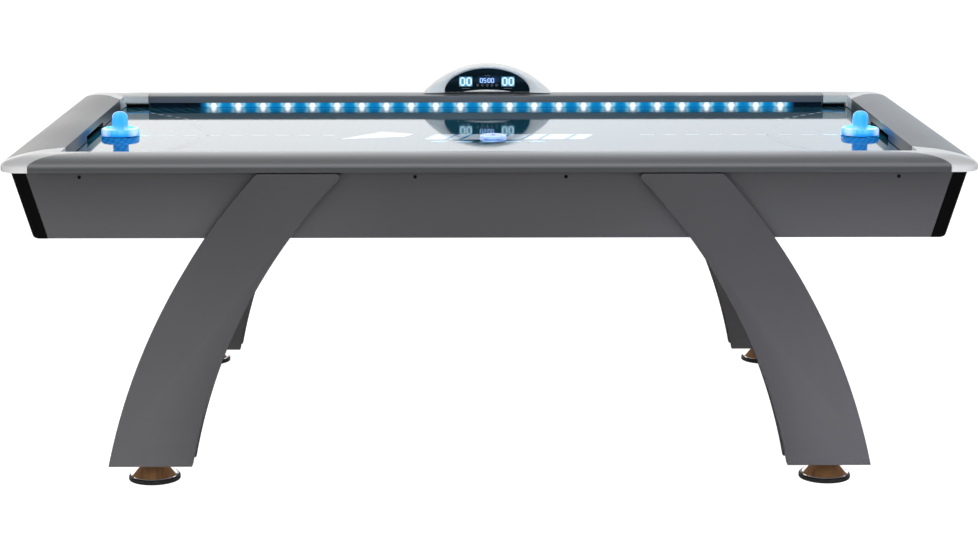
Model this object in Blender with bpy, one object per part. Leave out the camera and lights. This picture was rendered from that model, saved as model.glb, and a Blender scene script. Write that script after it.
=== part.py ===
"""Air hockey table: rails, cabinet, bowed legs on levelling feet, blower, scoreboard, lights and strikers.

Metres, +Z up. The origin is on the floor under the middle of the table, +X runs along the table, and the
scoreboard stands on the +Y rail. The corner, leg and foot functions work in the +X, +Y quarter, and sx and
sy mirror a quarter into its neighbours.
"""

from math import asin, cos, pi, radians, sin, sqrt

import bmesh
import bpy
from mathutils import Matrix, Vector

# Driving dimensions
LENGTH, WIDTH = 2.286, 1.270
HALF_L, HALF_W = LENGTH / 2, WIDTH / 2
SURFACE_Z = 0.7486  # top of the playing surface
RAIL_BASE_Z = 0.7505  # underside of the rails and corner caps
APRON_BASE_Z = 0.592  # lowest edge of the cabinet's sides
GAP = 0.0003  # between pieces that touch
MDF = 0.018
WELD = 0.00001

# Rails: w is the distance in from the table's outer edge
RAIL_W = 0.1265
FASCIA_TOP_Z = 0.7624
CREST_W, CREST_Z = 0.088, 0.7855
INNER_TOP_Z = 0.782
RAIL_WALL = 0.003
LIP_Z = 0.763  # underside of the lip over the light channel
CHANNEL_W = 0.110  # where the light channel's back wall is
DOME_POINTS = 10
INNER_X, INNER_Y = HALF_L - RAIL_W, HALF_W - RAIL_W

# Corner caps: every seam leaves the outer edge CAP_OUTER from the corner. It reaches CAP_INNER at the crest
# of a long rail, and only at the inner edge of an end rail
CAP_OUTER, CAP_INNER = 0.070, 0.195
END_SEAM_POWER = 1.6
CAP_RADIUS = 0.050
CAP_INNER_RADIUS = 0.002
CAP_ARC_POINTS = 6
SEAM = 0.0006

# Cabinet
APRON_Y = 0.610
APRON_TOP_Z = RAIL_BASE_Z - GAP
END_BASE_X = 1.070  # outer end face at APRON_BASE_Z
END_SLOPE = 0.2997  # how far the end face leans out for each metre up
POST_W = 0.0345
POST_Y = 0.574
POST_PROUD = 0.001
POST_ROUND = 0.010
DECK_X, DECK_Y, DECK_THICK = 1.018, 0.530, 0.012
DECK_BASE_Z = SURFACE_Z - DECK_THICK
BOTTOM_THICK = 0.009
PLENUM_X, PLENUM_Y, PLENUM_WALL = 0.950, 0.520, 0.015
PLENUM_FLOOR_Z, PLENUM_FLOOR_THICK = 0.665, 0.009

# Goals: a slot in each end rail, a tray under it and a window in the end apron
SLOT_Y, SLOT_TOP_Z = 0.130, 0.7630
SLOT_OUT_X = 1.095
TRAY_Y, TRAY_IN_X, TRAY_BASE_Z, TRAY_WALL = 0.165, 0.965, 0.632, 0.003
TRAY_FLOOR_RISE = 0.006  # at the tray's inner end, so that the puck runs out to the window
WINDOW_Y, WINDOW_Z = 0.150, (0.642, 0.705)

# Legs: a band between two arcs, (centre x, centre z, radius)
LEG_OUTER_ARC = (-0.5865, -0.2864, 1.5314)
LEG_INNER_ARC = (-0.6439, -0.2207, 1.3791)
LEG_BASE_Z, LEG_TOP_Z = 0.0424, 0.7478
LEG_DEPTH = 0.098
LEG_BOARD = 0.018
LEG_WEB_INSET = 0.015
LEG_STEPS = 14
LEG_OUTER_ROUND, LEG_INNER_ROUND = 0.014, 0.0086
STEM_HOLE_DEPTH = 0.059

# Feet
FOOT_X, FOOT_Y = 0.806, HALF_W - LEG_DEPTH / 2
FOOT_RADIUS, FOOT_PAD_THICK = 0.0617, 0.0095
STEM_RADIUS, STEM_LENGTH, STEM_PLAY = 0.006, 0.055, 0.0005

# Blower, on the table's vertical centre line
BLOWER_RADIUS, BLOWER_WALL = 0.075, 0.003
IMPELLER_RADIUS, VANES = 0.055, 14
INTAKE_RADIUS = 0.045
BAR_HALF_W, BAR_BELOW_TOP, BAR_THICK, BAR_BORE = 0.014, 0.009, 0.003, 0.0045
SHAFT_RADIUS, SHAFT_BASE_Z, SHAFT_PLAY = 0.003, 0.611, 0.00005
MOTOR_RADIUS, MOTOR_TOP_Z, MOTOR_CHAMFER = 0.026, 0.702, 0.004
HUB_RADIUS, HUB_BASE_Z = 0.010, 0.615
PLATE_Z = (0.6495, 0.652)
VANE_INNER, VANE_OUTER, VANE_HALF_THICK, VANE_BASE_Z, VANE_TWIST = 0.036, 0.0535, 0.0007, 0.6155, radians(35)
GRILLE_RADIUS, GRILLE_THICK, GRILLE_EDGE = 0.068, 0.003, 0.002
SLIT_REACH, SLIT_PITCH, SLIT_HALF_W, SLITS_EACH_SIDE = 0.042, 0.0115, 0.003, 3

# Scoreboard
BOARD_X = 0.003
BOARD_BASE_Z, BOARD_TOP_Z = 0.7859, 0.867
BOARD_HALF_W = 0.1795
BOARD_FRONT_Y, BOARD_BACK_Y = 0.535, 0.585
WINDOW_A, WINDOW_B, WINDOW_BASE_Z = 0.1206, 0.0675, 0.788
BOARD_LIP_A, BOARD_LIP_B = 0.0665, 0.0058
BOARD_BACK_WALL = 0.008
DISPLAY_Y, CIRCUIT_Y = (0.543, 0.546), (0.553, 0.5546)
DISPLAY_PLAY, CIRCUIT_INSET = 0.0005, 0.008
KEYS, KEY_Z, KEY_PITCH, KEY_RADIUS, KEY_PLAY = 5, 0.808, 0.0135, 0.004, 0.0003
KEY_PROUD, KEY_CHAMFER, KEY_COLLAR, KEY_COLLAR_THICK = 0.0018, 0.0006, 0.0012, 0.0015

# Light bars
LED_COUNT, LED_FIRST_X, LED_LAST_X = 24, -0.771, 0.830
LED_HALF_W, LED_INSET = 0.005, 0.002
STRIP_THICK, LED_REACH = 0.002, 0.006
LIGHT_WINDOW_SETBACK, LIGHT_WINDOW_THICK = 0.0008, 0.002

# Loose pieces
STRIKER_RADIUS, KNOB_RADIUS, STRIKER_TOP = 0.0488, 0.0205, 0.062
FELT_RADIUS, FELT_THICK = 0.0455, 0.001
STRIKERS = {"left": (-0.949, -0.015), "right": (0.963, -0.021)}
PUCK_AT, PUCK_RADIUS, PUCK_THICK = (0.013, -0.064), 0.0335, 0.0065

# Power inlet on the back
INLET_X, INLET_Z = 0.86, 0.672
FLANGE_HALF_W, FLANGE_HALF_H, FLANGE_THICK = 0.033, 0.019, 0.0025
INLET_HALF_W, INLET_HALF_H, INLET_DEPTH = 0.028, 0.014, 0.040
INLET_PLAY = 0.0005
SOCKET_X, SOCKET_HALF_H, SOCKET_DEPTH_Y = (-0.025, 0.001), 0.010, 0.590
PIN_X, PIN_PITCH, PIN_HALF, PIN_TIP_Y = -0.012, 0.007, (0.001, 0.002), 0.605
ROCKER_X, ROCKER_HALF_W, ROCKER_AXIS_Y = 0.0155, 0.0065, 0.6075
ROCKER_WELL_Y, ROCKER_PLAY, ROCKER_WELL_HALF_H = 0.5985, 0.0005, 0.0105
ROCKER_TILT = radians(7)

SIDES = {"left": -1, "right": 1}
FACES = {"front": -1, "back": 1}


def material(name, colour, roughness, metallic=0.0):
    found = bpy.data.materials.new(name)
    found.use_nodes = True
    shader = found.node_tree.nodes["Principled BSDF"]
    shader.inputs["Base Color"].default_value = (*colour, 1)
    shader.inputs["Roughness"].default_value = roughness
    shader.inputs["Metallic"].default_value = metallic
    return found


def make_materials():
    return {
        "rail": material("rail_aluminium", (0.34, 0.34, 0.36), 0.35, 1.0),
        "cap": material("cap_silver", (0.60, 0.59, 0.58), 0.38, 0.6),
        "laminate": material("grey_laminate", (0.085, 0.085, 0.09), 0.45),
        "black": material("black_plastic", (0.012, 0.012, 0.012), 0.5),
        "deck": material("playfield", (0.75, 0.78, 0.82), 0.08),
        "board": material("raw_board", (0.30, 0.22, 0.14), 0.8),
        "chrome": material("chrome", (0.75, 0.75, 0.76), 0.08, 1.0),
        "rubber": material("rubber", (0.015, 0.015, 0.015), 0.8),
        "steel": material("steel", (0.45, 0.45, 0.46), 0.35, 1.0),
        "window": material("dark_window", (0.01, 0.015, 0.03), 0.05),
        "circuit": material("circuit_board", (0.02, 0.10, 0.05), 0.5),
        "light": material("light_bar", (0.25, 0.65, 0.95), 0.3),
        "clear": material("clear_window", (0.55, 0.80, 0.95), 0.05),
        "striker": material("striker_blue", (0.05, 0.45, 0.95), 0.2),
        "puck": material("puck_blue", (0.40, 0.52, 1.0), 0.35),
        "felt": material("felt", (0.02, 0.05, 0.12), 0.95),
        "key": material("key_grey", (0.25, 0.27, 0.30), 0.5),
    }


def make_object(name, bm, mat, at=(0, 0, 0), sharp=35):
    """Turns bm, in world coordinates, into an object whose origin is at the point at."""
    bmesh.ops.remove_doubles(bm, verts=bm.verts, dist=WELD)
    bmesh.ops.recalc_face_normals(bm, faces=bm.faces)
    bmesh.ops.transform(bm, matrix=Matrix.Translation(-Vector(at)), verts=bm.verts)
    mesh = bpy.data.meshes.new(name)
    bm.to_mesh(mesh)
    bm.free()
    mesh.materials.append(mat)
    mesh.shade_smooth()
    mesh.set_sharp_from_angle(angle=radians(sharp))
    obj = bpy.data.objects.new(name, mesh)
    obj.location = at
    bpy.context.scene.collection.objects.link(obj)
    return obj


def add_box(bm, low, high):
    low, high = Vector(low), Vector(high)
    made = bmesh.ops.create_cube(bm, size=1)["verts"]
    size = high - low
    bmesh.ops.scale(bm, vec=size, verts=made)
    bmesh.ops.translate(bm, vec=(low + high) / 2, verts=made)
    return made


def box(name, low, high, mat, at=(0, 0, 0)):
    bm = bmesh.new()
    add_box(bm, low, high)
    return make_object(name, bm, mat, at)


def add_prism(bm, outline, axis, low, high):
    """Extrudes an outline along an axis. Its points are (x, z) for Y, (x, y) for Z and (y, z) for X."""
    place = {
        "X": lambda a, b: (low, a, b),
        "Y": lambda a, b: (a, low, b),
        "Z": lambda a, b: (a, b, low),
    }[axis]
    face = bm.faces.new([bm.verts.new(place(a, b)) for a, b in outline])
    made = bmesh.ops.extrude_face_region(bm, geom=[face])["geom"]
    shift = {"X": (high - low, 0, 0), "Y": (0, high - low, 0), "Z": (0, 0, high - low)}[axis]
    bmesh.ops.translate(bm, vec=shift, verts=[v for v in made if isinstance(v, bmesh.types.BMVert)])


def prism(name, outline, axis, low, high, mat, at=(0, 0, 0)):
    bm = bmesh.new()
    add_prism(bm, outline, axis, low, high)
    return make_object(name, bm, mat, at)


def add_turned(bm, profile, centre, steps=24, axis="Z"):
    """Turns (radius, height) points about an axis through centre. A profile that starts off it is a ring."""
    x, y, z = centre
    upright = axis == "Z"
    spot = (lambda r, h: (x + r, y, z + h)) if upright else (lambda r, h: (x + r, y + h, z))
    verts = [bm.verts.new(spot(r, h)) for r, h in profile]
    edges = [bm.edges.new(pair) for pair in zip(verts, verts[1:])]
    if profile[0][0] > 0:
        edges.append(bm.edges.new((verts[-1], verts[0])))
    turn_axis = (0, 0, 1) if upright else (0, 1, 0)
    bmesh.ops.spin(bm, geom=verts + edges, cent=centre, axis=turn_axis, angle=2 * pi, steps=steps)


def turned(name, profile, centre, mat, steps=24, axis="Z"):
    bm = bmesh.new()
    add_turned(bm, profile, centre, steps, axis)
    return make_object(name, bm, mat, centre)


def combine(obj, bm, operation):
    """Cuts bm's shape from the object, or joins it on, with a Boolean whose helper stays hidden."""
    helper = make_object(f"{obj.name}_{operation.lower()}_{len(obj.modifiers)}", bm, obj.data.materials[0])
    helper.hide_render = True
    helper.display_type = "WIRE"
    modifier = obj.modifiers.new(operation.title(), "BOOLEAN")
    modifier.operation = operation
    modifier.object = helper
    modifier.solver = "EXACT"


def cut_box(obj, low, high):
    bm = bmesh.new()
    add_box(bm, low, high)
    combine(obj, bm, "DIFFERENCE")


def cut_round(obj, centre, radius, height, steps=20, axis="Z"):
    bm = bmesh.new()
    profile = [(0, -height / 2), (radius, -height / 2), (radius, height / 2), (0, height / 2)]
    add_turned(bm, profile, centre, steps, axis)
    combine(obj, bm, "DIFFERENCE")


def span(a, b):
    return min(a, b), max(a, b)


def dome_z(w):
    """Height of the rail's top at a distance w from the outer edge, up to the crest."""
    return FASCIA_TOP_Z + (CREST_Z - FASCIA_TOP_Z) * sqrt(max(0, 1 - (1 - w / CREST_W) ** 2))


def rail_section(kind):
    """The rail's outer and inner outlines, as (w, z) points that pair up: long, end or cap."""
    outer, inner = [(0, RAIL_BASE_Z)], [(RAIL_WALL, RAIL_BASE_Z + RAIL_WALL)]
    for i in range(DOME_POINTS + 1):
        w = CREST_W * (1 - cos(pi * i / DOME_POINTS)) / 2
        outer.append((w, dome_z(w)))
        inner.append((RAIL_WALL + w * (1 - RAIL_WALL / CREST_W), dome_z(w) - RAIL_WALL))
    outer.append((RAIL_W, INNER_TOP_Z))
    inner_base_z = RAIL_BASE_Z + RAIL_WALL
    if kind == "long":
        outer += [(RAIL_W, LIP_Z), (CHANNEL_W, LIP_Z), (CHANNEL_W, RAIL_BASE_Z)]
        corner = (RAIL_W - RAIL_WALL, LIP_Z + RAIL_WALL)
        back = CHANNEL_W - RAIL_WALL
        inner += [(corner[0], INNER_TOP_Z - RAIL_WALL), corner, (back, corner[1]), (back, inner_base_z)]
    else:
        outer.append((RAIL_W, RAIL_BASE_Z))
        back = RAIL_W - RAIL_WALL if kind == "end" else CHANNEL_W - RAIL_WALL
        inner += [(back, INNER_TOP_Z - RAIL_WALL), (back, inner_base_z)]
    for w in (CREST_W, 0.95 * CREST_W, 0.75 * CREST_W, 0.35 * CREST_W):
        outer.append((w, RAIL_BASE_Z))
        inner.append((w, inner_base_z))
    return outer, inner


def long_seam(w):
    """Distance from the corner to the seam between cap and long rail: a parabola, then straight."""
    reach = min(max(w / CREST_W, 0), 1)
    return CAP_OUTER + (CAP_INNER - CAP_OUTER) * (1 - sqrt(1 - reach))


def end_seam(w):
    """The same for an end rail, where the seam leans over evenly from the outer to the inner edge."""
    reach = min(max(w / RAIL_W, 0), 1)
    return CAP_OUTER + (CAP_INNER - CAP_OUTER) * reach**END_SEAM_POWER


def rail_end(seam, w):
    """Where a rail ends, as a distance from the corner: half a seam short of the cap."""
    return seam(w + SEAM / 2) + SEAM / 2


def cap_end(seam, w):
    return seam(w - SEAM / 2) - SEAM / 2


def add_hollow_sweep(bm, stations):
    """Skins a hollow section through stations, each a pair of outer and inner loops of 3-D points."""
    rings = [[[bm.verts.new(p) for p in loop] for loop in station] for station in stations]
    count = len(rings[0][0])
    for first, second in zip(rings, rings[1:]):
        for side in (0, 1):
            for i in range(count):
                j = (i + 1) % count
                bm.faces.new((first[side][i], first[side][j], second[side][j], second[side][i]))
    for ring in (rings[0], rings[-1]):
        for i in range(count):
            j = (i + 1) % count
            bm.faces.new((ring[0][i], ring[0][j], ring[1][j], ring[1][i]))


def make_long_rail(face, mat):
    sy = FACES[face]
    loops = rail_section("long")
    stations = []
    for sx in (-1, 1):
        station = []
        for loop in loops:
            station.append([(sx * (HALF_L - rail_end(long_seam, w)), sy * (HALF_W - w), z) for w, z in loop])
        stations.append(station)
    bm = bmesh.new()
    add_hollow_sweep(bm, stations)
    make_object(f"rail_{face}", bm, mat)


def make_end_rail(side, mat):
    sx = SIDES[side]
    loops = rail_section("end")
    stations = []
    for sy in (-1, 1):
        station = []
        for loop in loops:
            station.append([(sx * (HALF_L - w), sy * (HALF_W - rail_end(end_seam, w)), z) for w, z in loop])
        stations.append(station)
    bm = bmesh.new()
    add_hollow_sweep(bm, stations)
    rail = make_object(f"rail_{side}", bm, mat)
    x = span(sx * (INNER_X - 0.01), sx * SLOT_OUT_X)
    cut_box(rail, (x[0], -SLOT_Y, RAIL_BASE_Z - 0.002), (x[1], SLOT_Y, SLOT_TOP_Z))


def cap_path(w):
    """Plan of the cap at offset w, as distances (u, v) in from the end and side edges."""
    radius = max(CAP_RADIUS - w, CAP_INNER_RADIUS)
    points = [(cap_end(long_seam, w), w)]
    for i in range(CAP_ARC_POINTS + 1):
        turn = pi / 2 * i / CAP_ARC_POINTS
        points.append((w + radius * (1 - sin(turn)), w + radius * (1 - cos(turn))))
    points.append((w, cap_end(end_seam, w)))
    return points


def make_corner_cap(face, side, mat):
    sx, sy = SIDES[side], FACES[face]
    loops = rail_section("cap")
    paths = [[(cap_path(w), z) for w, z in loop] for loop in loops]
    stations = []
    for k in range(CAP_ARC_POINTS + 3):
        station = []
        for loop in paths:
            station.append([(sx * (HALF_L - path[k][0]), sy * (HALF_W - path[k][1]), z) for path, z in loop])
        stations.append(station)
    bm = bmesh.new()
    add_hollow_sweep(bm, stations)
    cap = make_object(f"corner_cap_{face}_{side}", bm, mat)
    x = span(sx * (HALF_L - CAP_INNER - 0.01), sx * (INNER_X - 0.004))
    y = span(sy * (INNER_Y - 0.01), sy * (HALF_W - CHANNEL_W))
    cut_box(cap, (x[0], y[0], RAIL_BASE_Z - 0.002), (x[1], y[1], LIP_Z))


def end_face_x(z):
    return END_BASE_X + (z - APRON_BASE_Z) * END_SLOPE


def make_long_apron(face, mat):
    sy = FACES[face]
    top, low = (end_face_x(z) - POST_W - GAP for z in (APRON_TOP_Z, APRON_BASE_Z))
    outline = [(-low, APRON_BASE_Z), (low, APRON_BASE_Z), (top, APRON_TOP_Z), (-top, APRON_TOP_Z)]
    apron = prism(f"apron_{face}", outline, "Y", *span(sy * APRON_Y, sy * (APRON_Y - MDF)), mat)
    if face == "back":
        cut_box(
            apron,
            (INLET_X - INLET_HALF_W - INLET_PLAY, APRON_Y - 0.03, INLET_Z - INLET_HALF_H - INLET_PLAY),
            (INLET_X + INLET_HALF_W + INLET_PLAY, APRON_Y + 0.01, INLET_Z + INLET_HALF_H + INLET_PLAY),
        )


def make_end_apron(side, mat):
    sx = SIDES[side]
    thick = MDF * sqrt(1 + END_SLOPE**2)
    outline = []
    for z, back in ((APRON_BASE_Z, thick), (APRON_BASE_Z, 0), (APRON_TOP_Z, 0), (APRON_TOP_Z, thick)):
        outline.append((sx * (end_face_x(z) - POST_PROUD - back), z))
    apron = prism(f"apron_{side}", outline, "Y", -POST_Y + GAP, POST_Y - GAP, mat)
    x = span(sx * 1.04, sx * 1.12)
    cut_box(apron, (x[0], -WINDOW_Y, WINDOW_Z[0]), (x[1], WINDOW_Y, WINDOW_Z[1]))


def make_corner_post(face, side, mat):
    """A leaning post whose outer upright edge is rounded."""
    sx, sy = SIDES[side], FACES[face]
    radius, rows = POST_ROUND, []
    for z in (APRON_BASE_Z, APRON_TOP_Z):
        out_x, out_y = end_face_x(z), APRON_Y + POST_PROUD
        plan = [(out_x - POST_W, POST_Y), (out_x, POST_Y)]
        for i in range(5):
            turn = pi / 2 * i / 4
            plan.append((out_x - radius + radius * cos(turn), out_y - radius + radius * sin(turn)))
        plan.append((out_x - POST_W, out_y))
        rows.append([(sx * x, sy * y, z) for x, y in plan])
    bm = bmesh.new()
    low, high = ([bm.verts.new(p) for p in row] for row in rows)
    bm.faces.new(low)
    bm.faces.new(high)
    for i in range(len(low)):
        j = (i + 1) % len(low)
        bm.faces.new((low[i], low[j], high[j], high[i]))
    make_object(f"corner_post_{face}_{side}", bm, mat)


def make_cabinet(mats):
    bottom_x, inner_y = END_BASE_X - MDF * sqrt(1 + END_SLOPE**2) - POST_PROUD - 0.0005, APRON_Y - MDF - GAP
    notch_x, notch_y = END_BASE_X - POST_W - GAP, POST_Y - GAP
    quarter = [(bottom_x, notch_y), (notch_x, notch_y), (notch_x, inner_y)]
    outline = quarter + [(-x, y) for x, y in reversed(quarter)]
    outline += [(-x, -y) for x, y in quarter] + [(x, -y) for x, y in reversed(quarter)]
    top_z = APRON_BASE_Z + BOTTOM_THICK
    bottom = prism("cabinet_bottom", outline, "Z", APRON_BASE_Z, top_z, mats["board"])
    cut_round(bottom, (0, 0, APRON_BASE_Z), INTAKE_RADIUS + 0.003, 0.05)
    box("playfield_deck", (-DECK_X, -DECK_Y, DECK_BASE_Z), (DECK_X, DECK_Y, SURFACE_Z), mats["deck"])
    plenum = box(
        "air_plenum",
        (-PLENUM_X, -PLENUM_Y, top_z + GAP),
        (PLENUM_X, PLENUM_Y, DECK_BASE_Z - GAP),
        mats["board"],
    )
    x, y = PLENUM_X - PLENUM_WALL, PLENUM_Y - PLENUM_WALL
    cut_box(plenum, (-x, -y, PLENUM_FLOOR_Z + PLENUM_FLOOR_THICK), (x, y, SURFACE_Z))
    cut_box(plenum, (-x, -y, APRON_BASE_Z), (x, y, PLENUM_FLOOR_Z))
    cut_round(plenum, (0, 0, PLENUM_FLOOR_Z), BLOWER_RADIUS - 0.005, 0.05)


def make_puck_tray(side, mat):
    """A tray from under the goal slot to the window in the end apron, open above and outwards."""
    sx = SIDES[side]
    back = MDF * sqrt(1 + END_SLOPE**2) + POST_PROUD + 0.0005
    top_z, under_deck_z, step_x = RAIL_BASE_Z - 0.001, DECK_BASE_Z - GAP, DECK_X + 0.0015
    shell = [
        (TRAY_IN_X, TRAY_BASE_Z),
        (end_face_x(TRAY_BASE_Z) - back, TRAY_BASE_Z),
        (end_face_x(top_z) - back, top_z),
        (step_x, top_z),
        (step_x, under_deck_z),
        (TRAY_IN_X, under_deck_z),
    ]
    floor_z = TRAY_BASE_Z + TRAY_WALL
    hollow = [
        (TRAY_IN_X + TRAY_WALL, floor_z + TRAY_FLOOR_RISE),
        (1.13, floor_z),
        (1.13, 0.78),
        (step_x + TRAY_WALL, 0.78),
        (step_x + TRAY_WALL, under_deck_z - TRAY_WALL),
        (TRAY_IN_X + TRAY_WALL, under_deck_z - TRAY_WALL),
    ]
    tray = prism(f"puck_tray_{side}", [(sx * x, z) for x, z in shell], "Y", -TRAY_Y, TRAY_Y, mat)
    bm = bmesh.new()
    add_prism(bm, [(sx * x, z) for x, z in hollow], "Y", -TRAY_Y + TRAY_WALL, TRAY_Y - TRAY_WALL)
    bmesh.ops.recalc_face_normals(bm, faces=bm.faces)
    combine(tray, bm, "DIFFERENCE")


def arc_x(arc, z):
    return arc[0] + sqrt(arc[2] ** 2 - (z - arc[1]) ** 2)


def rounded(a, corner, b, radius, steps=4):
    """Points of a round that replaces a corner between straight neighbours a and b."""
    corner = Vector(corner)
    to_a, to_b = (Vector(a) - corner).normalized(), (Vector(b) - corner).normalized()
    half = to_a.angle(to_b) / 2
    reach = radius / sin(half) * cos(half)
    start, end = corner + to_a * reach, corner + to_b * reach
    centre = corner + (to_a + to_b).normalized() * (radius / sin(half))
    points = []
    for i in range(steps + 1):
        mid = start.lerp(end, i / steps) - centre
        points.append(tuple(centre + mid.normalized() * radius))
    return points


def leg_outline(top_z, inset=0.0, round_top=False):
    """The leg's side view in the +X half, going up its outer edge and down its inner edge."""
    outer = (*LEG_OUTER_ARC[:2], LEG_OUTER_ARC[2] - inset)
    inner = (*LEG_INNER_ARC[:2], LEG_INNER_ARC[2] + inset)
    heights = [LEG_BASE_Z + (top_z - LEG_BASE_Z) * i / LEG_STEPS for i in range(LEG_STEPS + 1)]
    up = [(arc_x(outer, z), z) for z in heights]
    down = [(arc_x(inner, z), z) for z in reversed(heights)]
    if not round_top:
        return up + down
    outer_round = rounded(up[-2], up[-1], down[0], LEG_OUTER_ROUND)
    inner_round = rounded(up[-1], down[0], down[1], LEG_INNER_ROUND)
    return up[:-1] + outer_round + inner_round + down[1:]


def make_leg(face, side, mat):
    """A tall outer panel over the apron, and behind it a web and an inner panel under the cabinet."""
    sx, sy = SIDES[side], FACES[face]
    panel_in = APRON_Y + GAP
    tall = [(sx * x, z) for x, z in leg_outline(LEG_TOP_Z, round_top=True)]
    prism(f"leg_panel_{face}_{side}", tall, "Y", *span(sy * panel_in, sy * HALF_W), mat)
    short_top = APRON_BASE_Z - GAP
    short = [(sx * x, z) for x, z in leg_outline(short_top)]
    web = [(sx * x, z) for x, z in leg_outline(short_top, LEG_WEB_INSET)]
    inner_y = HALF_W - LEG_DEPTH
    board = prism(
        f"leg_core_{face}_{side}", short, "Y", *span(sy * inner_y, sy * (inner_y + LEG_BOARD)), mat
    )
    bm = bmesh.new()
    add_prism(bm, web, "Y", *span(sy * (inner_y + LEG_BOARD / 2), sy * (panel_in - GAP)))
    combine(board, bm, "UNION")
    hole = STEM_RADIUS + STEM_PLAY
    cut_round(board, (sx * FOOT_X, sy * FOOT_Y, LEG_BASE_Z), hole, 2 * STEM_HOLE_DEPTH, 16)


def make_foot(face, side, mats):
    """A screwed stem with a cone, and a rubber disc below it. Both turn on the stem's axis."""
    at = (SIDES[side] * FOOT_X, FACES[face] * FOOT_Y, 0)
    top = LEG_BASE_Z - GAP
    cone = [
        (0, FOOT_PAD_THICK + GAP),
        (0.0560, FOOT_PAD_THICK + GAP),
        (0.0575, 0.0125),
        (0.0540, 0.0155),
        (0.0270, top - 0.002),
        (0.0255, top),
        (STEM_RADIUS, top),
        (STEM_RADIUS, top + STEM_LENGTH),
        (0, top + STEM_LENGTH),
    ]
    turned(f"foot_{face}_{side}", cone, at, mats["chrome"], 20)
    pad = [(0, 0), (0.0600, 0), (FOOT_RADIUS, 0.0015), (FOOT_RADIUS, 0.008), (0.0600, FOOT_PAD_THICK)]
    pad.append((0, FOOT_PAD_THICK))
    turned(f"foot_pad_{face}_{side}", pad, at, mats["rubber"], 20)


def make_blower(mats):
    base = APRON_BASE_Z + BOTTOM_THICK + GAP
    top = PLENUM_FLOOR_Z - GAP
    inner = BLOWER_RADIUS - BLOWER_WALL
    wall = [
        (BLOWER_RADIUS, base),
        (BLOWER_RADIUS, top),
        (inner, top),
        (inner, base + BLOWER_WALL),
        (INTAKE_RADIUS, base + BLOWER_WALL),
        (INTAKE_RADIUS, base),
    ]
    housing = turned("blower_housing", wall, (0, 0, 0), mats["black"])
    bm = bmesh.new()
    bar_z = (top - BAR_BELOW_TOP, top - BAR_BELOW_TOP + BAR_THICK)
    overlap = 0.001
    add_box(bm, (-inner - overlap, -BAR_HALF_W, bar_z[0]), (inner + overlap, BAR_HALF_W, bar_z[1]))
    combine(housing, bm, "UNION")
    cut_round(housing, (0, 0, bar_z[0]), BAR_BORE, 4 * BAR_THICK, 12)
    make_blower_motor(bar_z[1] + GAP, mats)
    make_impeller(mats)
    make_grille(mats)


def make_blower_motor(seat, mats):
    body = [
        (0, SHAFT_BASE_Z),
        (SHAFT_RADIUS, SHAFT_BASE_Z),
        (SHAFT_RADIUS, seat),
        (MOTOR_RADIUS, seat),
        (MOTOR_RADIUS, MOTOR_TOP_Z - MOTOR_CHAMFER),
        (MOTOR_RADIUS - MOTOR_CHAMFER, MOTOR_TOP_Z),
        (0, MOTOR_TOP_Z),
    ]
    turned("blower_motor", body, (0, 0, 0), mats["steel"], 16)


def make_impeller(mats):
    bore = SHAFT_RADIUS + SHAFT_PLAY
    hub = [
        (bore, HUB_BASE_Z),
        (HUB_RADIUS, HUB_BASE_Z),
        (HUB_RADIUS, PLATE_Z[0]),
        (IMPELLER_RADIUS, PLATE_Z[0]),
        (IMPELLER_RADIUS, PLATE_Z[1]),
        (bore, PLATE_Z[1]),
    ]
    impeller = turned("blower_impeller", hub, (0, 0, 0), mats["black"])
    middle = ((VANE_INNER + VANE_OUTER) / 2, 0, 0)
    overlap = 0.001
    for i in range(VANES):
        bm = bmesh.new()
        base = (VANE_INNER, -VANE_HALF_THICK, VANE_BASE_Z)
        vane = add_box(bm, base, (VANE_OUTER, VANE_HALF_THICK, PLATE_Z[0] + overlap))
        bmesh.ops.rotate(bm, verts=vane, cent=middle, matrix=Matrix.Rotation(VANE_TWIST, 3, "Z"))
        bmesh.ops.rotate(bm, verts=vane, cent=(0, 0, 0), matrix=Matrix.Rotation(2 * pi * i / VANES, 3, "Z"))
        combine(impeller, bm, "UNION")


def make_grille(mats):
    rim = GRILLE_RADIUS - GRILLE_EDGE
    plate = [(0, -GRILLE_THICK), (rim, -GRILLE_THICK), (GRILLE_RADIUS, GRILLE_EDGE - GRILLE_THICK)]
    plate += [(GRILLE_RADIUS, 0), (0, 0)]
    grille = turned("blower_grille", plate, (0, 0, APRON_BASE_Z - GAP), mats["black"])
    z = span(APRON_BASE_Z - 3 * GRILLE_THICK, APRON_BASE_Z + 3 * GRILLE_THICK)
    for i in range(-SLITS_EACH_SIDE, SLITS_EACH_SIDE + 1):
        y = SLIT_PITCH * i
        reach = sqrt(SLIT_REACH**2 - y**2)
        cut_box(grille, (-reach, y - SLIT_HALF_W, z[0]), (reach, y + SLIT_HALF_W, z[1]))


def board_arch(steps=20):
    """The scoreboard housing's outline: a flat base under one circular arc."""
    rise = BOARD_TOP_Z - BOARD_BASE_Z
    radius = (BOARD_HALF_W**2 + rise**2) / (2 * rise)
    centre_z = BOARD_TOP_Z - radius
    half = asin(BOARD_HALF_W / radius)
    turns = [-half + 2 * half * i / steps for i in range(steps + 1)]
    return [(BOARD_X + radius * sin(turn), centre_z + radius * cos(turn)) for turn in turns]


def half_ellipse(a, b, base_z, steps=16):
    return [(BOARD_X + a * cos(pi * i / steps), base_z + b * sin(pi * i / steps)) for i in range(steps + 1)]


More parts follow.
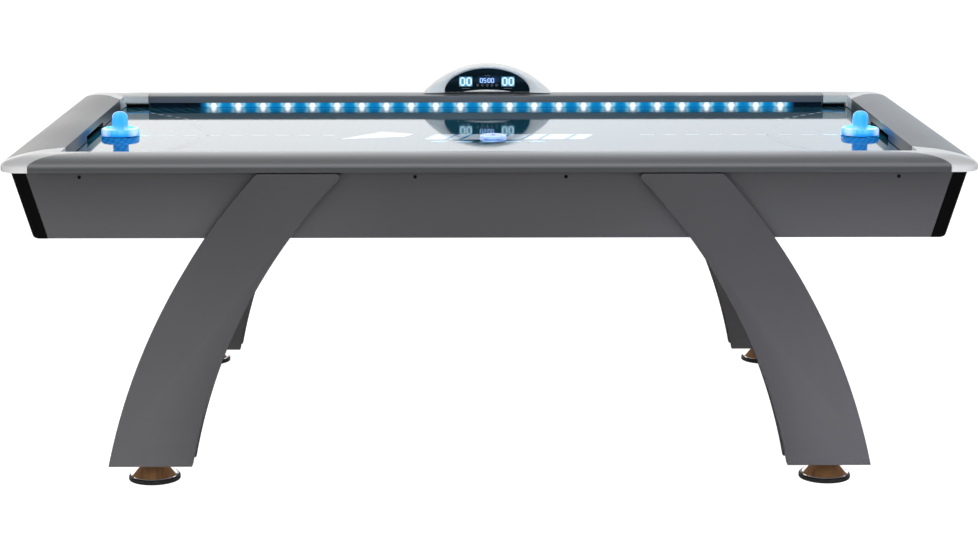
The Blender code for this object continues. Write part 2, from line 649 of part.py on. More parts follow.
def make_scoreboard(mats):
    housing = prism("scoreboard_housing", board_arch(), "Y", BOARD_FRONT_Y, BOARD_BACK_Y, mats["cap"])
    bm = bmesh.new()
    window = half_ellipse(WINDOW_A, WINDOW_B, WINDOW_BASE_Z)
    add_prism(bm, window, "Y", BOARD_FRONT_Y - 0.01, BOARD_BACK_Y - BOARD_BACK_WALL)
    bmesh.ops.recalc_face_normals(bm, faces=bm.faces)
    combine(housing, bm, "DIFFERENCE")
    bm = bmesh.new()
    lip = half_ellipse(BOARD_LIP_A, BOARD_LIP_B, WINDOW_BASE_Z - 0.001, 10)
    lip = [(lip[0][0], WINDOW_BASE_Z - 0.0015), *lip, (lip[-1][0], WINDOW_BASE_Z - 0.0015)]
    add_prism(bm, lip, "Y", BOARD_FRONT_Y + 0.0005, DISPLAY_Y[0] - GAP)
    bmesh.ops.recalc_face_normals(bm, faces=bm.faces)
    combine(housing, bm, "UNION")

    pane = half_ellipse(WINDOW_A - DISPLAY_PLAY, WINDOW_B - DISPLAY_PLAY - GAP, WINDOW_BASE_Z + GAP)
    display = prism("scoreboard_display", pane, "Y", *DISPLAY_Y, mats["window"])
    circuit = half_ellipse(WINDOW_A - CIRCUIT_INSET, WINDOW_B - CIRCUIT_INSET, WINDOW_BASE_Z + 0.002)
    prism("scoreboard_circuit", circuit, "Y", *CIRCUIT_Y, mats["circuit"])
    for i in range(KEYS):
        x = BOARD_X + (i - (KEYS - 1) / 2) * KEY_PITCH
        hole_y = sum(DISPLAY_Y) / 2
        cut_round(display, (x, hole_y, KEY_Z), KEY_RADIUS + KEY_PLAY, 0.01, 12, "Y")
        front = DISPLAY_Y[0] - KEY_PROUD
        seat = DISPLAY_Y[1] + GAP - front
        cap = [
            (0, 0),
            (KEY_RADIUS - KEY_CHAMFER, 0),
            (KEY_RADIUS, KEY_CHAMFER),
            (KEY_RADIUS, seat),
            (KEY_RADIUS + KEY_COLLAR, seat),
            (KEY_RADIUS + KEY_COLLAR, seat + KEY_COLLAR_THICK),
            (0, seat + KEY_COLLAR_THICK),
        ]
        turned(f"score_key_{i + 1}", cap, (x, front, KEY_Z), mats["key"], 12, "Y")


def make_light_bar(face, mats):
    """A strip of lights on the channel's back wall, and the clear window that keeps the puck out of it."""
    sy = FACES[face]
    back_y = HALF_W - CHANNEL_W - GAP
    low_z, high_z = SURFACE_Z + 0.0012, LIP_Z - 0.0006
    y = span(sy * back_y, sy * (back_y - STRIP_THICK))
    pitch = (LED_LAST_X - LED_FIRST_X) / (LED_COUNT - 1)
    strip = box(
        f"led_strip_{face}",
        (LED_FIRST_X - pitch / 2, y[0], low_z),
        (LED_LAST_X + pitch / 2, y[1], high_z),
        mats["light"],
    )
    bm = bmesh.new()
    y = span(sy * (back_y - 0.75 * STRIP_THICK), sy * (back_y - LED_REACH))
    for i in range(LED_COUNT):
        x = LED_FIRST_X + i * pitch
        add_box(bm, (x - LED_HALF_W, y[0], low_z + LED_INSET), (x + LED_HALF_W, y[1], high_z - LED_INSET))
    combine(strip, bm, "UNION")
    front_y = INNER_Y + LIGHT_WINDOW_SETBACK
    y = span(sy * front_y, sy * (front_y + LIGHT_WINDOW_THICK))
    reach = HALF_L - CAP_INNER - 0.001
    box(f"light_window_{face}", (-reach, y[0], SURFACE_Z + 0.0004), (reach, y[1], high_z), mats["clear"])


def make_striker(side, mats):
    x, y = STRIKERS[side]
    pad_low, pad_high = GAP, GAP + FELT_THICK
    pad = [(0, pad_low), (FELT_RADIUS, pad_low), (FELT_RADIUS, pad_high), (0, pad_high)]
    turned(f"striker_pad_{side}", pad, (x, y, SURFACE_Z), mats["felt"])
    low = pad_high + GAP
    body = [
        (0, low),
        (0.0468, low),
        (STRIKER_RADIUS, low + 0.002),
        (STRIKER_RADIUS, 0.0150),
        (0.0470, 0.0180),
        (0.0430, 0.0190),
        (0.0370, 0.0170),
        (0.0260, 0.0140),
        (KNOB_RADIUS, 0.0170),
        (KNOB_RADIUS, 0.0430),
        (0.0190, 0.0510),
        (0.0145, 0.0570),
        (0.0080, 0.0608),
        (0, STRIKER_TOP),
    ]
    turned(f"striker_{side}", body, (x, y, SURFACE_Z), mats["striker"])


def make_puck(mat):
    low, high = GAP, GAP + PUCK_THICK
    profile = [
        (0, low),
        (PUCK_RADIUS - 0.001, low),
        (PUCK_RADIUS, low + 0.001),
        (PUCK_RADIUS, high - 0.001),
        (PUCK_RADIUS - 0.001, high),
        (0, high),
    ]
    turned("puck", profile, (*PUCK_AT, SURFACE_Z), mat)


def make_power_inlet(mats):
    """A flanged inlet with three pins, and a rocker switch that pivots beside them."""
    face_y, flange_y = APRON_Y + GAP, APRON_Y + GAP + FLANGE_THICK
    inlet = box(
        "power_inlet",
        (INLET_X - FLANGE_HALF_W, face_y, INLET_Z - FLANGE_HALF_H),
        (INLET_X + FLANGE_HALF_W, flange_y, INLET_Z + FLANGE_HALF_H),
        mats["black"],
    )
    bm = bmesh.new()
    add_box(
        bm,
        (INLET_X - INLET_HALF_W, APRON_Y - INLET_DEPTH, INLET_Z - INLET_HALF_H),
        (INLET_X + INLET_HALF_W, flange_y - 0.001, INLET_Z + INLET_HALF_H),
    )
    combine(inlet, bm, "UNION")
    beyond = flange_y + 0.01
    cut_box(
        inlet,
        (INLET_X + SOCKET_X[0], SOCKET_DEPTH_Y, INLET_Z - SOCKET_HALF_H),
        (INLET_X + SOCKET_X[1], beyond, INLET_Z + SOCKET_HALF_H),
    )
    bm = bmesh.new()
    for i in (-1, 0, 1):
        x, z = INLET_X + PIN_X + PIN_PITCH * i, INLET_Z + (0.002 if i == 0 else -0.002)
        add_box(
            bm,
            (x - PIN_HALF[0], SOCKET_DEPTH_Y - 0.003, z - PIN_HALF[1]),
            (x + PIN_HALF[0], PIN_TIP_Y, z + PIN_HALF[1]),
        )
    combine(inlet, bm, "UNION")
    rocker_x, well = INLET_X + ROCKER_X, ROCKER_HALF_W + ROCKER_PLAY
    cut_box(
        inlet,
        (rocker_x - well, ROCKER_WELL_Y, INLET_Z - ROCKER_WELL_HALF_H),
        (rocker_x + well, beyond, INLET_Z + ROCKER_WELL_HALF_H),
    )
    make_rocker(rocker_x, mats)


def make_rocker(x, mats):
    """The switch's V-shaped cap, drawn level as (y, z) about its pivot and then tilted."""
    level = [(-0.004, -0.0085), (-0.004, 0.0085), (0.0035, 0.0090), (0.0050, 0.0086), (0.0036, 0)]
    level += [(0.0050, -0.0086), (0.0035, -0.0090)]
    turn = Matrix.Rotation(ROCKER_TILT, 2)
    at = Vector((ROCKER_AXIS_Y, INLET_Z))
    outline = [tuple(at + turn @ Vector(p)) for p in level]
    prism("power_switch", outline, "X", x - ROCKER_HALF_W, x + ROCKER_HALF_W, mats["black"], (x, *at))


def build():
    for obj in list(bpy.data.objects):
        bpy.data.objects.remove(obj, do_unlink=True)
    mats = make_materials()
    for face in FACES:
        make_long_rail(face, mats["rail"])
        make_long_apron(face, mats["laminate"])
        make_light_bar(face, mats)
        for side in SIDES:
            make_corner_cap(face, side, mats["cap"])
            make_corner_post(face, side, mats["black"])
            make_leg(face, side, mats["laminate"])
            make_foot(face, side, mats)
    for side in SIDES:
        make_end_rail(side, mats["rail"])
        make_end_apron(side, mats["laminate"])
        make_puck_tray(side, mats["black"])
        make_striker(side, mats)
    make_cabinet(mats)
    make_blower(mats)
    make_scoreboard(mats)
    make_puck(mats["puck"])
    make_power_inlet(mats)


build()
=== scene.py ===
"""Looks for the air hockey table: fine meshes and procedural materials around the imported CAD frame.

Metres, +Z up. +X runs along the table, the camera looks from -Y, and the scoreboard stands on the +Y rail.
"""

from math import asin, cos, pi, radians, sin, sqrt

import bmesh
import bpy
from mathutils import Matrix, Vector


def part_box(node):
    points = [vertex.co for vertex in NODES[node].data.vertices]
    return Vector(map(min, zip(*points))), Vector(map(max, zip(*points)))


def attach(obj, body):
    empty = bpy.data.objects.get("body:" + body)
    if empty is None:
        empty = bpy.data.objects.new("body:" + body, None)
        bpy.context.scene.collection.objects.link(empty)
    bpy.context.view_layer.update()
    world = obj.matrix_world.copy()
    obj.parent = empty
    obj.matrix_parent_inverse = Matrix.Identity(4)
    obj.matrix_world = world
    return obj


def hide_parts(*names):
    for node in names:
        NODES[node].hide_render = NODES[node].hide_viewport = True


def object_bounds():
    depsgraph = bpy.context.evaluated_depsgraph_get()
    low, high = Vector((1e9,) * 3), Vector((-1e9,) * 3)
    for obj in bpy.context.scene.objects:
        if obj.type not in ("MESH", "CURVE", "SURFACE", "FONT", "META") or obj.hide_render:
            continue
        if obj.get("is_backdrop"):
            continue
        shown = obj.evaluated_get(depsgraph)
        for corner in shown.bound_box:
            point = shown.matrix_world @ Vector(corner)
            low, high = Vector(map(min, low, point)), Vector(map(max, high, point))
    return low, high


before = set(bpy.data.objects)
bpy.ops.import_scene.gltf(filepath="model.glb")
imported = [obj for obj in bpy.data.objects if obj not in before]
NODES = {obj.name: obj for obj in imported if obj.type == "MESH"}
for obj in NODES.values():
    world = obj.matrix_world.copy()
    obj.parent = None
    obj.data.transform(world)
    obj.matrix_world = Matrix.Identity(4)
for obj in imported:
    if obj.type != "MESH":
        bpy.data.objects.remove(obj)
CAD_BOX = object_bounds()

SIDES = {"left": -1, "right": 1}
FACES = {"front": -1, "back": 1}
QUARTERS = [(face, side, sx, sy) for face, sy in FACES.items() for side, sx in SIDES.items()]


def low(node):
    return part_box(node)[0]


def high(node):
    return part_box(node)[1]


def centre(node):
    return [(a + b) / 2 for a, b in zip(*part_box(node))]


# Sizes read from the frame
HALF_L, HALF_W = high("rail_right")[0], high("rail_back")[1]
SURFACE_Z = high("playfield_deck")[2]
RAIL_BASE_Z, CREST_Z = low("rail_back")[2], high("rail_back")[2]
RAIL_W = HALF_W - low("rail_back")[1]
INNER_X, INNER_Y = HALF_L - RAIL_W, HALF_W - RAIL_W
APRON_Y = high("apron_back")[1]
APRON_BASE_Z, APRON_TOP_Z = low("apron_back")[2], high("apron_back")[2]
POST_Y_IN = low("corner_post_back_right")[1]
LEG_BASE_Z, LEG_TOP_Z = low("leg_panel_back_right")[2], high("leg_panel_back_right")[2]
LEG_PANEL_IN_Y = low("leg_panel_back_right")[1]
LEG_CORE_IN_Y = low("leg_core_back_right")[1]
LEG_CORE_TOP_Z = high("leg_core_back_right")[2]
BOARD_LO, BOARD_HI = low("scoreboard_housing"), high("scoreboard_housing")
BOARD_BASE_Z, BOARD_TOP_Z = BOARD_LO[2], BOARD_HI[2]
BOARD_FRONT_Y, BOARD_BACK_Y = BOARD_LO[1], BOARD_HI[1]
BOARD_HALF_W, BOARD_X = (BOARD_HI[0] - BOARD_LO[0]) / 2, (BOARD_HI[0] + BOARD_LO[0]) / 2
DISPLAY_FRONT_Y = low("scoreboard_display")[1]

GAP = 0.0003  # between pieces that touch

# Rail section, as in the CAD: w is the distance in from the outer edge
FASCIA_TOP_Z = 0.7624
CREST_W = 0.088
INNER_TOP_Z, INNER_ROUND = 0.782, 0.0016
RAIL_WALL = 0.003
LIP_Z = 0.763
CHANNEL_W = 0.110
DOME_POINTS = 36
EDGE_ROUND = 0.0012
CAP_OUTER, CAP_INNER, END_SEAM_POWER = 0.070, 0.195, 1.6
CAP_RADIUS, CAP_INNER_RADIUS, CAP_ARC_POINTS = 0.050, 0.002, 18
SEAM = 0.0012
SLOT_Y, SLOT_OUT_X, SLOT_TOP_Z = 0.130, 1.095, 0.763
LINER_TOP_Z = 0.7578

# Cabinet ends, as in the CAD
END_BASE_X, END_SLOPE, END_INSET = 1.070, 0.2997, 0.001
POST_W, POST_PROUD, POST_ROUND, POST_FOOT = 0.0345, 0.001, 0.010, 0.007
POST_STEPS, POST_ROUND_STEPS = 18, 8
APRON_BOARD = 0.018
BOLT_XS, BOLT_Z, BOLT_RADIUS = (-0.957, -0.175, 0.177, 0.955), 0.737, 0.0042
RETURN_Y, RETURN_Z, RETURN_ROUND = 0.150, (0.642, 0.705), 0.010  # puck window in an end panel
INLET_LEDGE = 0.0045

# Legs and feet, as in the CAD
LEG_OUTER_ARC = (-0.5865, -0.2864, 1.5314)
LEG_INNER_ARC = (-0.6439, -0.2207, 1.3791)
LEG_OUTER_ROUND, LEG_INNER_ROUND = 0.014, 0.0086
LEG_BOARD, LEG_WEB_INSET, LEG_STEPS = 0.018, 0.015, 56
LEG_EDGE = 0.0009
STEM_CREST, STEM_ROOT, STEM_TURNS = 0.0058, 0.0052, 22

# Scoreboard window, figures and clock
WINDOW_A, WINDOW_B, WINDOW_BASE_Z = 0.1206, 0.0675, 0.788
FIGURE_XS = {"left": -0.0575, "right": 0.0615}
CLOCK_Z = 0.8148
GLOW_DEPTH = 0.0003  # of a lit figure

# Lights in the long rails
LED_COUNT, LED_FIRST_X, LED_LAST_X = 24, -0.767, 0.830
LED_HEIGHT = 0.760
LED_PITCH = (LED_LAST_X - LED_FIRST_X) / (LED_COUNT - 1)
LED_BALL = (
    (0.0, (0.27, 0.28, 0.28)),
    (0.11, (0.24, 0.26, 0.27)),
    (0.22, (0.100, 0.170, 0.245)),
    (0.32, (0.090, 0.170, 0.250)),
    (0.44, (0.130, 0.230, 0.280)),
    (0.58, (0.030, 0.165, 0.265)),
    (0.70, (0.001, 0.090, 0.205)),
    (1.0, (0.0, 0.068, 0.180)),
)

# Printed marks
PRINT_Y, PRINT_LIFT = -0.022, 0.00012
DASH_START_X, DASH_LENGTH, DASH_PITCH = 0.905, 0.036, 0.0595
DASH_WIDTH, DASH_COUNT, CORNER_DASHES = 0.011, 9, 6
CORNER_Y = 0.012  # the corner lines mirror about this line
BAND_WIDTHS = (0.060, 0.038, 0.064, 0.034, 0.058, 0.044, 0.070, 0.050)

# Strikers: a turned profile, a tone for each part of the height, and two lights under the disc
STRIKER_PROFILE = (
    (0, 0.0016, True), (0.0462, 0.0016), (0.0482, 0.0030), (0.0488, 0.0062), (0.0488, 0.0125),
    (0.0484, 0.0158), (0.0468, 0.0182), (0.0440, 0.0190), (0.0400, 0.0184), (0.0340, 0.0160),
    (0.0270, 0.0148), (0.0222, 0.0162), (0.0206, 0.0200), (0.0204, 0.0300), (0.0204, 0.0430),
    (0.0192, 0.0510), (0.0158, 0.0568), (0.0100, 0.0604), (0.0040, 0.0619), (0, 0.0620, True),
)
STRIKER_TONES = (
    (0.0, (0.0, 0.10, 0.62)),
    (0.06, (0.0, 0.16, 0.72)),
    (0.13, (0.06, 0.44, 1.0)),
    (0.20, (0.16, 0.60, 1.0)),
    (0.30, (0.18, 0.60, 1.0)),
    (0.45, (0.08, 0.48, 1.0)),
    (0.85, (0.06, 0.46, 1.0)),
    (1.0, (0.16, 0.58, 1.0)),
)
STRIKER_LIGHTS = ((-0.026, -0.024, 0.011), (0.030, -0.020, 0.011))

# Studio: where the world is bright, as a turn about X, and the area lights
WORLD_STOPS = (
    (0.0, 0.10), (0.10, 0.12), (0.25, 0.20), (0.44, 0.55), (0.49, 0.90), (0.54, 0.90), (0.575, 0.26),
    (0.63, 0.14), (0.70, 0.16), (0.755, 0.30), (0.80, 0.36), (0.86, 0.22), (0.93, 0.11), (1.0, 0.10),
)
WHITE, COOL, LED_BLUE = (1, 1, 1), (0.88, 0.90, 1.0), (0.05, 0.50, 1.0)
STUDIO_LIGHTS = (  # name, place, target, size, power, colour
    ("top_softbox", (0.5, -1.6, 3.4), (0, 0, 0.7), (3.6, 1.6), 31, WHITE),
    ("front_fill", (0.6, -6.0, 2.6), (0.2, 0, 0.5), (5.0, 2.5), 96, WHITE),
    ("board_light", (0, -0.1, 1.35), (0, 0.6, 0.83), (0.5, 0.2), 3, WHITE),
    ("floor_strip_left", (-1.15, -1.35, 0.03), (-1.0, -0.6, 0.10), (1.4, 0.2), 13.5, WHITE),
    ("floor_strip_right", (1.15, -1.35, 0.03), (1.0, -0.6, 0.10), (1.4, 0.2), 16.5, COOL),
)
FLOOR_REACH = 40

# Camera
CAMERA_AT = (-0.0516, -5.8466, 1.6034)
CAMERA_PITCH, CAMERA_YAW = 11.8685, 0.5354
LENS, SENSOR = 83.70, 36


# ---- materials


class Graph:
    """Adds nodes to a node tree and links them. Node kinds go without their ShaderNode."""

    def __init__(self, tree):
        self.tree = tree

    def new(self, kind):
        return self.tree.nodes.new("ShaderNode" + kind)

    def read(self, kind, output):
        return self.new(kind).outputs[output]

    def set(self, socket, value):
        if isinstance(value, bpy.types.NodeSocket):
            self.tree.links.new(value, socket)
        else:
            socket.default_value = value

    def wire(self, node, **values):
        """Sets or links a node's inputs by name, with _ for a space."""
        for name, value in values.items():
            self.set(node.inputs[name.replace("_", " ")], value)
        return node

    def fill(self, node, values):
        """Sets or links a node's first inputs in order."""
        for socket, value in zip(node.inputs, values):
            self.set(socket, value)
        return node.outputs[0]

    def node(self, kind, **values):
        return self.wire(self.new(kind), **values)

    def finish_split(self, other, camera, kind):
        """The tree's output: one shader for the camera's own rays and another for all others."""
        mix = self.new("MixShader")
        self.fill(mix, (self.read("LightPath", "Is Camera Ray"), other.outputs[0], camera.outputs[0]))
        self.tree.links.new(mix.outputs[0], self.new("Output" + kind).inputs[0])

    def look(self, **values):
        """Sets the shader's inputs, and returns the finished material."""
        self.wire(self.shader, **values)
        return self.material

    def math(self, operation, *values):
        made = self.new("Math")
        made.operation = operation
        return self.fill(made, values)

    def length(self, a, b):
        return self.math("SQRT", self.math("ADD", self.math("POWER", a, 2.0), self.math("POWER", b, 2.0)))

    def repeat(self, value, pitch, shift=100.0):
        """How far a value is through its pitch, from 0 to 1. shift keeps it positive."""
        return self.math("FRACT", self.math("ADD", self.math("DIVIDE", value, pitch), shift))

    def parts(self):
        """The x, y and z of a point of the object."""
        return self.node("SeparateXYZ", Vector=self.read("TexCoord", "Object")).outputs

    def noise(self, scale, detail=2.0, roughness=0.5, stretch=(1, 1, 1)):
        place = self.node("Mapping", Vector=self.read("TexCoord", "Object"), Scale=stretch).outputs[0]
        made = self.node("TexNoise", Vector=place, Scale=scale, Detail=detail, Roughness=roughness)
        return made.outputs[0]

    def span(self, value, a, b, to_a=0.0, to_b=1.0):
        return self.fill(self.new("MapRange"), (value, a, b, to_a, to_b))

    def ramp(self, fac, stops):
        made = self.new("ValToRGB")
        elements = made.color_ramp.elements
        while len(elements) < len(stops):
            elements.new(0.5)
        for element, (at, colour) in zip(elements, stops):
            element.position = at
            element.color = (*colour, 1)
        return self.fill(made, [fac])

    def mix(self, fac, a, b, blend="MIX"):
        made = self.new("Mix")
        made.data_type, made.blend_type = "RGBA", blend
        self.set(made.inputs[0], fac)
        for i, value in ((6, a), (7, b)):
            self.set(made.inputs[i], (*value, 1) if isinstance(value, tuple) else value)
        return made.outputs[2]

    def shade(self, value, colour, dark, light, low=0.3, high=0.7):
        """The colour times dark to times light, as value goes from low to high."""
        return self.mix(self.span(value, low, high), scaled(colour, dark), scaled(colour, light))

    def tint(self, tone, value, amount, colour, low=0.3, high=0.7):
        """Up to that amount of another colour, as value goes from low to high."""
        return self.mix(self.span(value, low, high, 0, amount), tone, colour)

    def bump(self, height, strength, distance):
        return self.node("Bump", Height=height, Strength=strength, Distance=distance).outputs[0]


def scaled(colour, factor):
    return tuple(min(1, c * factor) for c in colour)


def principled(name, colour, roughness, metallic=0.0, **extra):
    """The graph of a new material. extra holds the shader's input names with _ for a space."""
    made = bpy.data.materials.new(name)
    made.use_nodes = True
    g = Graph(made.node_tree)
    g.material, g.shader = made, made.node_tree.nodes["Principled BSDF"]
    g.look(Base_Color=(*colour, 1), Roughness=roughness, Metallic=metallic, **extra)
    return g


def metal_grain(name, colour, roughness, along):
    """Satin metal with fine grain drawn along one axis and a slow unevenness in its sheen."""
    g = principled(name, colour, roughness, 0.85)
    grain = g.noise(1.0, 3.0, 0.6, tuple(3 if axis == along else 900 for axis in "XYZ"))
    slow = g.noise(1.0, stretch=(2.2, 2.2, 2.2))
    tone = g.shade(grain, colour, 0.90, 1.08, 0.25, 0.75)
    rough = g.span(grain, 0.2, 0.8, roughness - 0.05, roughness + 0.06)
    return g.look(
        Base_Color=g.tint(tone, slow, 0.10, scaled(colour, 0.8)),
        Roughness=g.math("ADD", rough, g.span(slow, 0.3, 0.7, 0, 0.04)),
        Normal=g.bump(grain, 0.35, 0.00003),
    )


def silver_paint(name, colour):
    """Metallic silver paint on a moulding: fine flake, slight orange peel."""
    g = principled(name, colour, 0.38, 0.12, Coat_Weight=0.15, Coat_Roughness=0.15)
    flake = g.noise(2600, 1.0)
    return g.look(
        Base_Color=g.shade(flake, colour, 0.88, 1.10),
        Roughness=g.span(flake, 0.3, 0.7, 0.28, 0.42),
        Normal=g.bump(g.noise(160), 0.12, 0.0002),
    )


def laminate(name, colour):
    """Grey melamine laminate: tiny pores, faint drift in tone, and rubbed edges."""
    g = principled(name, colour, 0.42, Specular_IOR_Level=0.4)
    pores = g.noise(1400)
    tone = g.shade(g.noise(3.0, 3.0), colour, 0.94, 1.05)
    tone = g.tint(tone, pores, 0.22, scaled(colour, 0.72), 0.35, 0.65)
    tone = g.tint(tone, g.noise(1.0, 3.0, stretch=(6, 6, 260)), 0.12, scaled(colour, 1.25))
    worn = g.read("NewGeometry", "Pointiness")
    return g.look(
        Base_Color=g.tint(tone, worn, 0.25, scaled(colour, 2.0), 0.52, 0.60),
        Roughness=g.span(pores, 0.3, 0.7, 0.37, 0.50),
        Normal=g.bump(pores, 0.25, 0.00006),
    )


def plastic(name, colour, roughness, grain=900, depth=0.00008):
    """Moulded plastic with a fine spark-eroded texture."""
    g = principled(name, colour, roughness, Specular_IOR_Level=0.15)
    fine = g.noise(grain)
    sheen = g.span(fine, 0.3, 0.7, roughness - 0.06, roughness)
    return g.look(
        Base_Color=g.shade(fine, colour, 0.8, 1.25),
        Roughness=g.math("ADD", sheen, g.span(g.noise(14), 0.3, 0.7, 0, 0.08)),
        Normal=g.bump(fine, 0.4, depth),
    )


def raw_board(name, colour):
    """Bare fibreboard: short pale fibres on brown."""
    g = principled(name, colour, 0.78)
    fibre = g.noise(1.0, 4.0, 0.65, (260, 60, 60))
    tone = g.shade(fibre, colour, 0.72, 1.3)
    tone = g.tint(tone, g.noise(9, 3.0), 0.3, scaled(colour, 0.8), 0.35)
    return g.look(Base_Color=tone, Normal=g.bump(fibre, 0.4, 0.0002))


def polished(name, colour):
    """Polished metal, or dark mirror glass, with a slight haze."""
    g = principled(name, colour, 0.05, 1.0)
    haze = g.noise(60, 3.0)
    return g.look(Roughness=g.span(haze, 0.35, 0.7, 0.03, 0.09), Normal=g.bump(haze, 0.03, 0.0002))


def rubber(name, colour):
    g = principled(name, colour, 0.55)
    fine = g.noise(700, 3.0)
    return g.look(
        Base_Color=g.shade(fine, colour, 1, 2.2),
        Roughness=g.span(fine, 0.3, 0.7, 0.42, 0.62),
        Normal=g.bump(fine, 0.3, 0.0001),
    )


def glow(name, colour, strength):
    """A lit surface whose brightness varies a little."""
    g = principled(name, (0.02, 0.02, 0.02), 0.3)
    tone = g.tint(colour, g.noise(400, 1.0), 0.1, scaled(colour, 0.8))
    return g.look(Emission_Color=tone, Emission_Strength=strength)


def playfield_material():
    """A printed sheet under thick gloss: deep teal blue, air holes on a grid, faint slanted hatching."""
    g = principled("playfield", (0.012, 0.055, 0.09), 0.05, IOR=1.52)
    x, y, _ = g.parts()
    hole, hole_pitch, hatch_pitch = 0.0008, 0.0254, 0.034
    grid = [g.math("ABSOLUTE", g.math("SUBTRACT", g.repeat(v, hole_pitch, 100.5), 0.5)) for v in (x, y)]
    holes = g.span(g.length(*grid), hole / hole_pitch * 0.9, hole / hole_pitch * 1.1, 1.0, 0.0)
    slant = g.repeat(g.math("ADD", x, g.math("MULTIPLY", y, 0.55)), hatch_pitch)
    stripe = g.math("MULTIPLY", g.span(slant, 0.38, 0.5), g.span(slant, 0.62, 0.5))
    zone = g.span(g.math("ABSOLUTE", x), 0.62, 0.98)
    stripe = g.math("MULTIPLY", g.math("MULTIPLY", stripe, zone), 0.85)
    tone = g.mix(g.span(g.noise(2.2, 3.0), 0.3, 0.7), (0.003, 0.040, 0.070), (0.008, 0.075, 0.115))
    tone = g.mix(stripe, tone, (0.16, 0.30, 0.40))
    return g.look(
        Base_Color=g.mix(holes, tone, (0.0, 0.0, 0.0)),
        Roughness=g.span(g.noise(35), 0.3, 0.7, 0.035, 0.06),
        Normal=g.bump(g.math("SUBTRACT", 1.0, holes), 0.6, 0.0004),
    )


def print_ink(name, colour, strength=0.0):
    """Ink under the same gloss as the playfield."""
    g = principled(name, colour, 0.05, IOR=1.52)
    tone = g.shade(g.noise(600), colour, 1, 0.85)
    # A strength above zero makes the ink glow, which is painted light.
    return g.look(Base_Color=tone, Emission_Color=tone, Emission_Strength=strength)


def led_channel_material():
    """The lit strip behind the window: a hot core low in each light, in a pale ball on saturated blue."""
    g = principled("led_channel", (0.003, 0.010, 0.020), 0.5, Specular_IOR_Level=0.1)
    x, _, z = g.parts()
    step = g.repeat(g.math("SUBTRACT", x, LED_FIRST_X), LED_PITCH, 100.5)
    across = g.math("MULTIPLY", g.math("SUBTRACT", step, 0.5), LED_PITCH)

    def distance(height, squash):
        return g.length(across, g.math("MULTIPLY", g.math("SUBTRACT", z, height), squash))

    ball = g.ramp(g.math("DIVIDE", distance(LED_HEIGHT, 1.1), LED_PITCH / 2), LED_BALL)
    core = g.span(distance(SURFACE_Z + 0.0035, 1.0), 0.0020, 0.0125, 1.0, 0.0)
    tone = g.mix(g.math("POWER", core, 2.0), ball, (0.85, 0.97, 1.0))
    edge = (LED_LAST_X - LED_FIRST_X) / 2
    beyond = g.math("ABSOLUTE", g.math("SUBTRACT", x, (LED_FIRST_X + LED_LAST_X) / 2))
    fade = g.span(beyond, edge + 0.018, edge + 0.040, 1.0, 0.0)
    return g.look(Emission_Color=g.mix(fade, (0.0, 0.0, 0.001), tone), Emission_Strength=3.3)


def striker_material():
    """Translucent blue moulding lit from inside, with two pale lights. A mirror sees it in deep stripes, a
    painted reflection.
    """
    g = principled("striker_blue", (0.02, 0.28, 0.80), 0.12, Coat_Weight=0.4, Coat_Roughness=0.04)
    place = g.read("TexCoord", "Object")
    x, _, z = g.parts()
    near = []
    for spot in STRIKER_LIGHTS:
        away = g.new("VectorMath")
        away.operation = "DISTANCE"
        g.fill(away, (place, spot))
        near.append(g.span(away.outputs["Value"], 0.009, 0.024, 1.0, 0.0))
    tone = g.ramp(g.span(z, 0.0, 0.062), STRIKER_TONES)
    tone = g.tint(tone, g.noise(1.0, stretch=(140, 140, 9)), 0.45, (0.01, 0.26, 0.80), 0.42, 0.66)
    seen = g.mix(g.math("POWER", g.math("MAXIMUM", *near), 1.4), tone, (1.0, 1.0, 1.0))
    # Painted reflection: glossy rays see darker slanted blue stripes in place of the lit moulding.
    slant = g.repeat(g.math("ADD", x, z), 0.016)
    deep = g.mix(g.span(slant, 0.45, 0.60), (0.0, 0.25, 0.85), (0.0, 0.08, 0.40))
    tone = g.mix(g.read("LightPath", "Is Glossy Ray"), seen, deep)
    return g.look(Emission_Color=tone, Emission_Strength=0.85)


def puck_material():
    g = principled("puck_blue", (0.40, 0.52, 0.98), 0.25, Coat_Weight=0.3, Coat_Roughness=0.1)
    fine = g.noise(220)
    tone = g.mix(g.span(fine, 0.3, 0.7), (0.36, 0.48, 0.95), (0.44, 0.56, 1.0))
    normal = g.bump(fine, 0.1, 0.0001)
    # The emission is a painted glow: it stands in for light falling on the puck.
    return g.look(Base_Color=tone, Emission_Color=tone, Emission_Strength=0.45, Normal=normal)


def clear_window_material():
    g = principled("clear_acrylic", (0.02, 0.05, 0.08), 0.04, IOR=1.49)
    return g.look(Alpha=g.span(g.noise(90), 0.3, 0.7, 0.06, 0.09))


